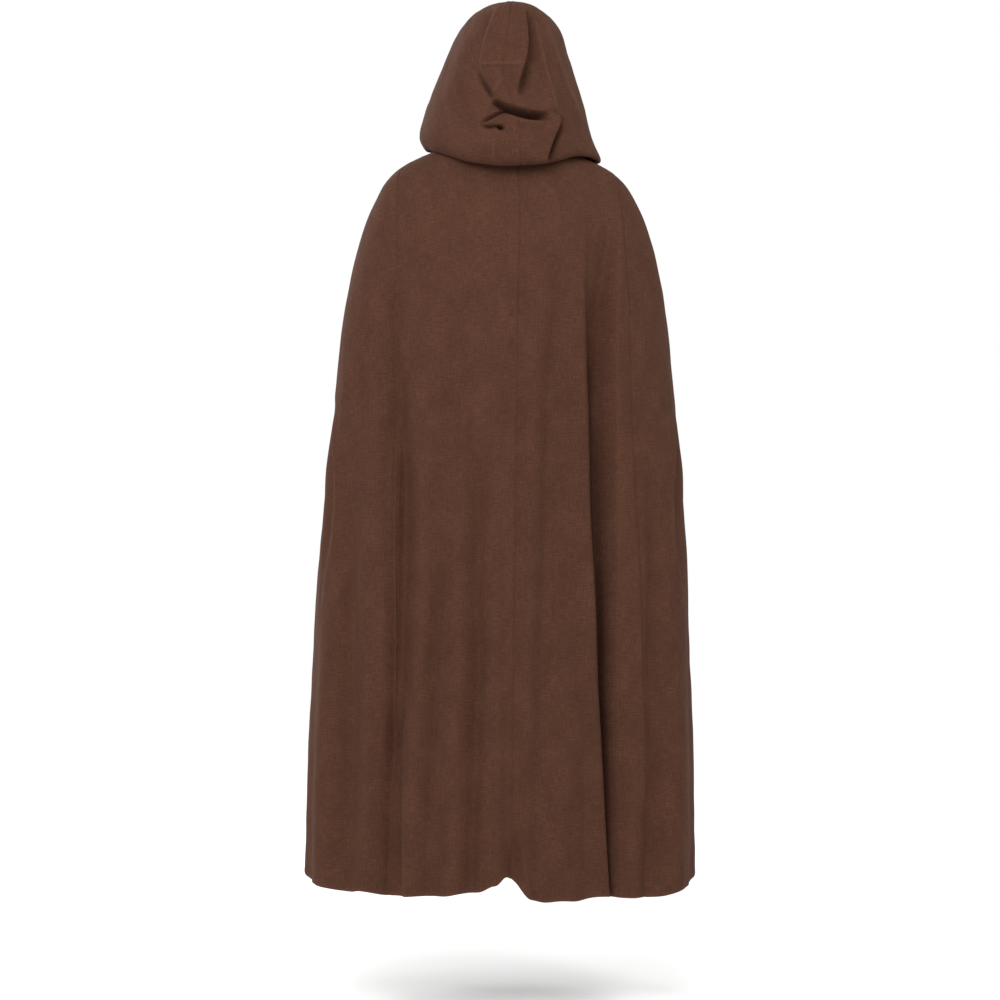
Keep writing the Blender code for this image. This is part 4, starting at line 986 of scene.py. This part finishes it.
# Folds of the hood's back, each through places (x, z, strength) as seen from behind. For one that runs
# down, "left" is its half-width on the left of that view and "right" on the right; for one that runs to the
# right, "left" is below and "right" above. "fall" moves the fold's cloth down, over what is below it.
HoodFold = namedtuple("HoodFold", "name height left right crisp fall path")
HOOD_FOLDS = [
    HoodFold("peak left edge", 0.0034, 0.004, 0.012, .9, 0, ((.020, .234, .3), (.033, .188, .8),
        (.0415, .150, 1), (.0445, .125, 1), (.043, .108, .8), (.036, .092, .5), (.028, .074, 0))),
    HoodFold("across the peak", 0.0046, 0.0035, 0.011, 1, 0, ((.047, .1225, 0), (.040, .1230, .8),
        (.020, .1235, 1), (.000, .1235, 1), (-.018, .1240, .9), (-.030, .1265, 0))),
    HoodFold("peak right roll", 0.0045, 0.012, 0.0022, 0, 0, ((-.033, .241, .2), (-.034, .211, .6),
        (-.0345, .169, 1), (-.0335, .142, 1), (-.0295, .123, 1), (-.025, .104, .9), (-.0215, .084, .6),
        (-.020, .068, 0))),
    HoodFold("beside the peak", -0.0140, 0.0026, 0.015, 0, 0, ((-.038, .250, 0), (-.039, .232, .7),
        (-.0395, .205, 1), (-.0395, .165, 1), (-.0375, .142, 1), (-.033, .123, 1), (-.028, .104, 1),
        (-.0245, .084, .8), (-.022, .066, 0))),
    HoodFold("left flank crease", -0.0120, 0.0040, 0.0034, 0, 0, ((.049, .118, 0), (.0455, .105, .5),
        (.0405, .094, .8), (.0345, .083, 1), (.0290, .074, 1), (.0255, .067, .7), (.023, .062, 0))),
    HoodFold("edge under the peak", 0.0024, 0.004, 0.005, .8, 0, ((.004, .104, 0), (.012, .093, .8),
        (.020, .081, 1), (.0265, .071, .8), (.031, .064, 0))),
    HoodFold("slanting ridge", 0.0060, 0.008, 0.010, .3, 0, ((.000, .106, 0), (.006, .097, .6),
        (.015, .083, 1), (.024, .066, 1), (.029, .058, 1), (.035, .044, 1), (.040, .030, .8),
        (.046, .016, 0))),
    HoodFold("lip", 0.0100, 0.0070, 0.017, 0, 0.003, ((.022, .066, 0), (.014, .062, .5),
        (-.004, .055, 1), (-.0232, .0485, 1), (-.036, .0455, 1), (-.0487, .0440, 1), (-.064, .0430, .7),
        (-.080, .041, 0))),
    HoodFold("deep crease", -0.0290, 0.0036, 0.0090, 0, 0, ((.028, .0560, 0), (.020, .0530, .55),
        (.005, .0430, .9), (-.010, .0380, 1), (-.0232, .0345, 1), (-.036, .0312, 1), (-.0487, .0296, 1),
        (-.064, .0288, .75), (-.077, .0288, 0))),
    HoodFold("below the deep crease", 0.0050, 0.012, 0.004, .4, 0, ((.004, .033, 0), (-.012, .0285, .8),
        (-.026, .0235, 1), (-.044, .0215, 1), (-.062, .0225, .8), (-.078, .026, 0))),
    HoodFold("soft end of the lip", 0.0050, 0.010, 0.010, 0, 0, ((-.058, .052, 0), (-.070, .047, .8),
        (-.082, .047, 1), (-.092, .044, 0))),
    HoodFold("slanting crease", -0.0130, 0.0026, 0.0032, 0, 0, ((.004, .0410, .7), (.0087, .0386, 1),
        (.020, .0325, 1), (.030, .0270, 1), (.0404, .0210, .7), (.047, .0180, 0))),
    HoodFold("light lip under it", 0.0045, 0.006, 0.0025, .5, 0, ((.004, .0345, 0), (.012, .0305, .9),
        (.024, .0240, 1), (.034, .0185, .8), (.043, .0145, 0))),
    HoodFold("small crease", -0.0110, 0.0030, 0.0026, 0, 0, ((.014, .0100, .8), (.0200, .0122, 1),
        (.0303, .0102, 1), (.0410, .0128, .8), (.050, .0158, 0))),
    HoodFold("hole at its end", -0.0200, 0.0040, 0.0038, 0, 0, ((.0080, .0088, .7), (.0105, .0092, 1),
        (.0135, .0100, .8))),
    HoodFold("long ridge", 0.0055, 0.012, 0.007, .8, 0, ((-.052, .228, 0), (-.056, .205, .5),
        (-.061, .171, .8), (-.069, .131, 1), (-.0775, .100, 1), (-.084, .076, 1), (-.089, .050, .8),
        (-.091, .036, 0))),
    HoodFold("hollow beside it", -0.0035, 0.010, 0.012, 0, 0, ((-.047, .20, 0), (-.052, .150, .9),
        (-.060, .110, 1), (-.069, .078, .7), (-.076, .062, 0))),
    HoodFold("outer ridge", 0.0058, 0.009, 0.009, .8, 0, ((-.068, .222, 0), (-.073, .200, .5),
        (-.090, .160, 1), (-.102, .123, 1), (-.117, .084, 1), (-.131, .053, .7), (-.140, .030, 0))),
    HoodFold("right tuck", 0.0115, 0.026, 0.0018, 0, 0, ((-.0970, .038, 0), (-.0950, .029, .7),
        (-.0900, .0115, 1), (-.0822, -.0088, 1), (-.0752, -.029, 1), (-.0690, -.052, .9),
        (-.0680, -.062, .6))),
    HoodFold("beside the right tuck", -0.0175, 0.0018, 0.0065, 0, 0, ((-.1010, .037, 0),
        (-.0985, .027, .8), (-.0937, .0115, 1), (-.0861, -.0088, 1), (-.0790, -.029, 1),
        (-.0725, -.052, .7), (-.0710, -.062, .3))),
    HoodFold("faint left ridge", 0.0016, 0.005, 0.004, .6, 0, ((.022, -.006, 0), (.023, -.022, 1),
        (.024, -.048, 1), (.024, -.060, 0))),
    HoodFold("low roll", 0.0030, 0.024, 0.022, 0, 0, ((.070, -.016, 0), (.040, -.014, 1),
        (-.04, -.014, 1), (-.068, -.016, 0))),
    HoodFold("left side drift", 0.0022, 0.016, 0.020, 0, 0, ((.062, .215, 0), (.082, .150, 1),
        (.102, .085, 1), (.122, .020, 0))),
]
HOOD_HEM_ARCH_AT = -0.130
HOOD_HEM_ARCH_REACH = 0.030
HOOD_HEM_ARCH = 0.009
# How often a search halves the cloth to find its height at a place.
HALVINGS = 22


def shoulder_height(x, y):
    """Height of the unfolded cloak at a place seen from above."""
    low, high = np.zeros_like(x), np.full_like(x, TOTAL_DROP)
    for _ in range(HALVINGS):
        drop = (low + high) / 2
        depth = np.where(y > 0, section_value("back", drop), section_value("front", drop))
        out = np.clip(np.abs(x - lean_at(drop)) / section_value("half_width", drop), 0, 9)
        beyond = out**SQUARENESS + np.abs(y / depth) ** SQUARENESS > 1
        low, high = np.where(beyond, drop, low), np.where(beyond, high, drop)
    across = (x - lean_at(drop)) / section_value("half_width", drop)
    s = signed_power(np.clip(across, -1, 1), SQUARENESS / 2)
    c = signed_power(np.clip(y / depth, -1, 1), SQUARENESS / 2)
    return level_at(s, c, drop)


def hood_value(name, level):
    return curve(np.linspace(0, 1, len(HOOD_SECTIONS)), column(HOOD_SECTIONS, name), level)


def hood_seam(level):
    """Where the seam runs down the back of the hood: it drifts to the right to meet the back's seam."""
    shifted = smoothstep(0.42, 0.60, level)
    return HOOD_SEAM_BEND * smoothstep(0.1, 0.4, level) * (1 - shifted) - HOOD_SEAM_SHIFT * shifted


def plain_hood(across, level):
    """The hood before it is folded. across goes from -2 at the right edge of the face opening, through 0 at
    the centre back and 1 at the widest place of the left side, to 2 at the left edge. level goes from 0 at
    the crown seam to 1 at the neck."""
    side = np.clip(np.abs(across), 0, 1)
    front = np.clip(np.abs(across) - 1, 0, 1)
    s, c = np.sin(side * math.pi / 2), np.cos(side * math.pi / 2)
    low = smoothstep(0.45, 0.80, level) * (1 - smoothstep(0.88, 0.98, level))
    right = np.where(across < 0, low * (1 - front**2), 0)
    spread = HOOD_RIGHT_SPREAD * smoothstep(0.62, 0.80, level)
    side_x = hood_value("side_x", level) + spread * right
    side_y = HOOD_SIDE_Y_CROWN + (HOOD_SIDE_Y_NECK - HOOD_SIDE_Y_CROWN) * smoothstep(0, 0.8, level)
    back_z, side_z = hood_value("back_z", level), hood_value("side_z", level)
    x = side_x * s + (hood_value("face_x", level) - side_x) * front**2
    y = side_y + (hood_value("back_y", level) - side_y) * c + (hood_value("face_y", level) - side_y) * front
    z = back_z + (side_z - back_z) * s**2 - HOOD_RIGHT_DROP * right * s**3
    z = z + (hood_value("face_z", level) - side_z) * front**1.7
    x = hood_value("lean", level) + np.where(across < 0, -x, x)
    seated = smoothstep(0.90, 1.0, level)
    angle = np.sign(across) * (90 * side + (edge_angle(np.zeros(1)) - 90) * front)
    on_neck = plain_body(angle, np.zeros_like(x))
    x = x + (on_neck[..., 0] - x) * seated
    y = y + (on_neck[..., 1] - y) * seated
    resting = np.full_like(z, -9.0)
    low_rows = level > 0.6
    resting[low_rows] = shoulder_height(x[low_rows], y[low_rows])
    resting = resting + SEAM_GAP + HOOD_REST * (1 - seated)
    return np.stack([x, y, np.maximum(z, resting)], -1)


def beside_line(x, z, path):
    """Signed distance from a line through the path's places, and the fold's strength there."""
    places = np.array(path, float)
    along = run_along(places[None, :, :2], 1)[0]
    steps = np.linspace(0, along[-1], 8 * len(path))
    line = np.stack([curve(along, places[:, k], steps) for k in range(3)], -1)
    nearest = np.full(x.shape, np.inf)
    offset, strength = np.zeros_like(x), np.zeros_like(x)
    for (x0, z0, s0), (x1, z1, s1) in zip(line[:-1], line[1:]):
        run_x, run_z = x1 - x0, z1 - z0
        length = math.hypot(run_x, run_z)
        share = np.clip(((x - x0) * run_x + (z - z0) * run_z) / length**2, 0, 1)
        away_x, away_z = x - x0 - share * run_x, z - z0 - share * run_z
        distance = np.hypot(away_x, away_z)
        side = np.sign((x - x0) * run_z - (z - z0) * run_x)
        closer = distance < nearest
        nearest = np.where(closer, distance, nearest)
        offset = np.where(closer, side * distance, offset)
        strength = np.where(closer, s0 + share * (s1 - s0), strength)
    return offset, np.clip(strength, 0, 1)


def hood_surface(across, level):
    """The hood's outer surface with its sunken peak and its folds."""
    plain = plain_hood(across, level)
    x, z = plain[..., 0], plain[..., 2]
    heights = -np.array(column(PEAK, "z"))
    left_edge, right_edge = (curve(heights, column(PEAK, side), -z) for side in ("left", "right"))
    stands = np.where(-z < heights[-1], curve(heights, column(PEAK, "height"), -z), 0) * (-z > heights[0])
    out = stands * smoothstep(-PEAK_LEFT_SOFT, PEAK_LEFT_SOFT, left_edge - x) * smoothstep(
        -PEAK_RIGHT_SOFT, PEAK_RIGHT_SOFT, x - right_edge)
    fall, wear_and_highlight = np.zeros_like(x), np.zeros_like(x)
    for fold in HOOD_FOLDS:
        offset, strength = beside_line(x, z, fold.path)
        out += fold.height * strength * profile(offset, fold.left, fold.right, fold.crisp)
        # A pressed ridge gets a lighter line, partly wear and partly a painted highlight of the light it
        # catches.
        if fold.crisp and fold.height > 0:
            wear_and_highlight = np.maximum(wear_and_highlight, fold.crisp * strength * bell(offset, HOOD_RIDGE_HIGHLIGHT_REACH))
        if fold.fall:
            fall += fold.fall * strength * profile(offset, FALLS_ABOVE, FALLS_BELOW)
    on_back = 1 - smoothstep(0.80, 1.05, np.abs(across))
    outside = on_back * smoothstep(0.004, 0.05, level) * (1 - smoothstep(0.74, 0.80, level))
    _, outward = directions_of(plain_hood, across, np.clip(level, 0.012, 0.99), 0.01, 0.006)
    folded = plain + outward * (out * outside)[..., None]
    on_roll = on_back * smoothstep(0.60, 0.80, level) * (1 - smoothstep(0.84, 0.95, level))
    arch = HOOD_HEM_ARCH * bell(x - HOOD_HEM_ARCH_AT, HOOD_HEM_ARCH_REACH)
    folded[..., 2] += arch * on_roll - fall * outside
    return folded, outward, wear_and_highlight * outside


HOOD_CLOSE_COLUMNS = 0.68
HOOD_COLUMNS_WIDEN = 1.15
HOOD_RIPPLES = (Ripple(0.0011, 0.050, 0.070), Ripple(0.0006, 0.020, 0.028))


def hood_half(name, side, columns, reach, seed):
    """One half of the hood. side is 1 for the left half and -1 for the right one, and reach is the share of
    its width that has the closest columns."""
    close = int(columns * HOOD_CLOSE_COLUMNS)
    wide = np.linspace(0, 1, columns - close) ** HOOD_COLUMNS_WIDEN
    shares = np.concatenate([np.linspace(0, reach, close, endpoint=False), reach + (1 - reach) * wide])
    levels = crowded(HOOD_ROWS, [0.44, 0.60, 0.84, 1.0], 0.08, 0.7)[:, None]
    middle = hood_seam(levels)
    speed = np.linalg.norm(plain_hood(middle + 0.01, np.maximum(levels, 0.02))
                           - plain_hood(middle - 0.01, np.maximum(levels, 0.02)), axis=-1) / 0.02
    start = middle + side * SEAM_GAP / 2 / speed
    across = start + (2 * side - start) * shares[None, :]
    level = np.broadcast_to(levels, across.shape).copy()
    plain = plain_hood(across, level)
    over = run_along(plain, 1) * side
    down = run_along(plain, 0)[:, columns // 2][:, None] + np.zeros_like(over)
    folded, outward, wear_and_highlight = hood_surface(across, level)
    seam_distance = np.minimum(run_along(plain, 1), down)
    edge_distance = np.abs(over[:, -1:] - over)
    relief = sum(rippled(ripple, over, down, seed + further) for further, ripple in enumerate(HOOD_RIPPLES))
    relief *= (1 - np.exp(-seam_distance / PLAIN_BESIDE_SEAM)) * (1 - smoothstep(0.90, 0.98, level))
    sewn = sewn_relief(seam_distance, edge_distance, over, down, seed + 2)
    relief += sewn * (1 - smoothstep(0.93, 0.99, level))
    outer = folded + outward * relief[..., None]
    outer[0, :, 0] = hood_value("lean", 0) + side * SEAM_GAP / 2
    laid = np.stack([over, down], -1)
    if side < 0:
        outer, laid, wear_and_highlight, seam_distance, edge_distance = (
            grid[:, ::-1] for grid in (outer, laid, wear_and_highlight, seam_distance, edge_distance))
    stitch_line(name + "_face_stitches", outer, "last" if side > 0 else "first")
    return cloth_shell(name + "_cloth", outer, seam_distance, edge_distance, laid, wear_and_highlight,
                       ("first" if side > 0 else "last", "top"), brown_cloth)


for name, side, columns, reach, seed in (("hood_left", 1, HOOD_LEFT_COLUMNS, 0.36, 41),
                                         ("hood_right", -1, HOOD_RIGHT_COLUMNS, 0.42, 51)):
    piece = hood_half(name, side, columns, reach, seed)
    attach(piece, "root")
    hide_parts(name)

# The ties. Two narrow tapes of the same cloth, folded in four and stitched along their edges, sewn inside
# the front edges at the neck and knotted once at the throat. Their two ends hang below the knot.
TIE_BELOW_NECK = 0.010
TIE_WIDTH = 0.012
TIE_SEWN_IN = 0.030
TIE_CURL = 0.0012
TIE_POINTS_ACROSS = 15
TIE_STITCHES_IN = 0.0015
TIE_STITCHES_PULL_IN = 0.0003
TIE_STITCHES_PULL_WIDTH = 0.0005
TIE_RIPPLE = Ripple(0.0005, 0.010, 0.014)
NO_SEAM_NEAR = 9.0
KNOT_HEIGHT = 0.016
# The ribbon of the knot: its rings, the corners of one, its half-width and half-thickness, and how far its
# loops reach sideways, out and down.
KNOT_RINGS = 83
KNOT_CORNERS = 12
KNOT_RIBBON = (0.0036, 0.0019)
KNOT_REACH = (0.0036, 0.0042, 0.0032)

tie_cloth = woven_cloth("tie_cloth", (0.0595, 0.0243, 0.0146, 1), (0.0358, 0.0138, 0.0080, 1),
                        (0.0950, 0.0420, 0.0268, 1), 1250.0, 0.9, 0.6)


def smooth_path(places, count):
    """Evenly spaced points on a smooth curve through the places, and their distances along it."""
    places = np.array(places, float)
    run = run_along(places[None], 1)[0]
    at = np.linspace(0, run[-1], count)
    return np.stack([curve(run, places[:, k], at) for k in range(3)], -1), at


def tape(name, places, out_at_start, out_at_end, seed):
    """A folded and stitched tape along a path, its face turning from one direction to another."""
    path, run = smooth_path(places, max(24, int(len(places) * 14)))
    along = unit(np.gradient(path, axis=0))
    share = (run / run[-1])[:, None]
    face = unit(np.array(out_at_start) * (1 - share) + np.array(out_at_end) * share)
    beside = unit(np.cross(face, along))
    face = unit(np.cross(along, beside))
    across = np.linspace(-TIE_WIDTH / 2, TIE_WIDTH / 2, TIE_POINTS_ACROSS)[None, :]
    over = across + np.zeros((len(path), 1))
    down = run[:, None] + np.zeros_like(over)
    from_side = TIE_WIDTH / 2 - np.abs(over)
    lift = TIE_CURL * (2 * over / TIE_WIDTH) ** 2
    lift -= TIE_STITCHES_PULL_IN * bell(from_side - TIE_STITCHES_IN, TIE_STITCHES_PULL_WIDTH)
    lift += rippled(TIE_RIPPLE, over, down, seed)
    outer = path[:, None] + beside[:, None] * over[..., None] + face[:, None] * lift[..., None]
    edge_distance = np.minimum(from_side, np.minimum(down, run[-1] - down) + 1e-5)
    piece = cloth_shell(name, outer, np.full_like(over, NO_SEAM_NEAR), np.maximum(edge_distance, 0.0),
                        np.stack([over, down], -1), np.zeros_like(over), (), tie_cloth)
    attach(piece, "root")
    return piece


tie_edge = edge_angle(np.array([TIE_BELOW_NECK]))
sewn_at = [body_surface(side * tie_edge, np.array([TIE_BELOW_NECK]), FRONT_FOLDS, FRONT_SWELLS)[0][0]
           for side in (1, -1)]
throat = (sewn_at[0] + sewn_at[1]) / 2 + np.array((0, 0.0005, 0))
winding = np.linspace(0, 2 * math.pi, 49)
wound, _ = smooth_path(np.array(KNOT_REACH) * np.stack([
    np.sin(winding) + 2 * np.sin(2 * winding), np.sin(3 * winding),
    np.cos(winding) - 2 * np.cos(2 * winding)], -1), KNOT_RINGS + 1)
loops_along = unit(np.roll(wound, -1, 0) - np.roll(wound, 1, 0))
loops_beside = unit(np.cross((0.0, -1.0, 0.0), loops_along))
loops_face = np.cross(loops_along, loops_beside)
knot_points, knot_faces = [], []
for middle, beside, face in zip(wound[:-1], loops_beside, loops_face):
    for k in range(KNOT_CORNERS):
        turn = 2 * math.pi * k / KNOT_CORNERS
        wide, thick = (size * signed_power(part, 0.8)
                       for size, part in zip(KNOT_RIBBON, (math.cos(turn), math.sin(turn))))
        knot_points.append(tuple(throat + middle + beside * wide + face * thick))
for ring in range(KNOT_RINGS):
    a, b = ring * KNOT_CORNERS, (ring + 1) % KNOT_RINGS * KNOT_CORNERS
    for k in range(KNOT_CORNERS):
        beyond = (k + 1) % KNOT_CORNERS
        knot_faces.append((a + k, b + k, b + beyond, a + beyond))
knot, knot_mesh = new_piece("tie_knot_loops", knot_points, knot_faces, tie_cloth)
knot_map = knot_mesh.uv_layers.new(name="cloth_map")
for face in knot_mesh.polygons:
    for corner, vertex in zip(face.loop_indices, face.vertices):
        ring, k = divmod(vertex, KNOT_CORNERS)
        knot_map.data[corner].uv = (0.0012 * abs(k - KNOT_CORNERS / 2), 0.0016 * ring)
knot_mesh.shade_smooth()
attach(knot, "root")
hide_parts("tie_knot")

for name, side, sewn_point in (("tie_left", 1, sewn_at[0]), ("tie_right", -1, sewn_at[1])):
    inside = sewn_point + np.array((0, CLOTH + TURNED_UNDER + 0.0024, 0))
    places = [start + np.array((side * x, y, z)) for start, x, y, z in (
        (inside, TIE_SEWN_IN, 0.0045, -0.002), (inside, 0.012, 0.0010, -0.001),
        (inside, -0.002, -0.0002, 0), (throat, 0.0105, 0.0012, 0.0008), (throat, 0.0030, 0.0005, 0))]
    piece = tape(name + "_tape", places, (side * 0.15, -1, 0), (0, -1, 0.1 * side), 61 + side)
    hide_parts(name)

for name, side, length in (("tie_tail_left", 1, 0.210), ("tie_tail_right", -1, 0.189)):
    places = [throat + np.array((side * 0.0030, -0.0010, -0.001))]
    for share in np.linspace(0, 1, 8):
        sway = 0.003 * math.sin(1.5 * math.pi * share)
        places.append(throat + np.array((side * (0.0068 + 0.010 * share) + sway,
                                         -0.030 * math.sin(share * math.pi / 2),
                                         -KNOT_HEIGHT / 2 - length * share)))
    piece = tape(name + "_tape", places, (side * 0.2, -1, 0), (side * 0.55, -1, 0), 71 + side)
    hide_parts(name)
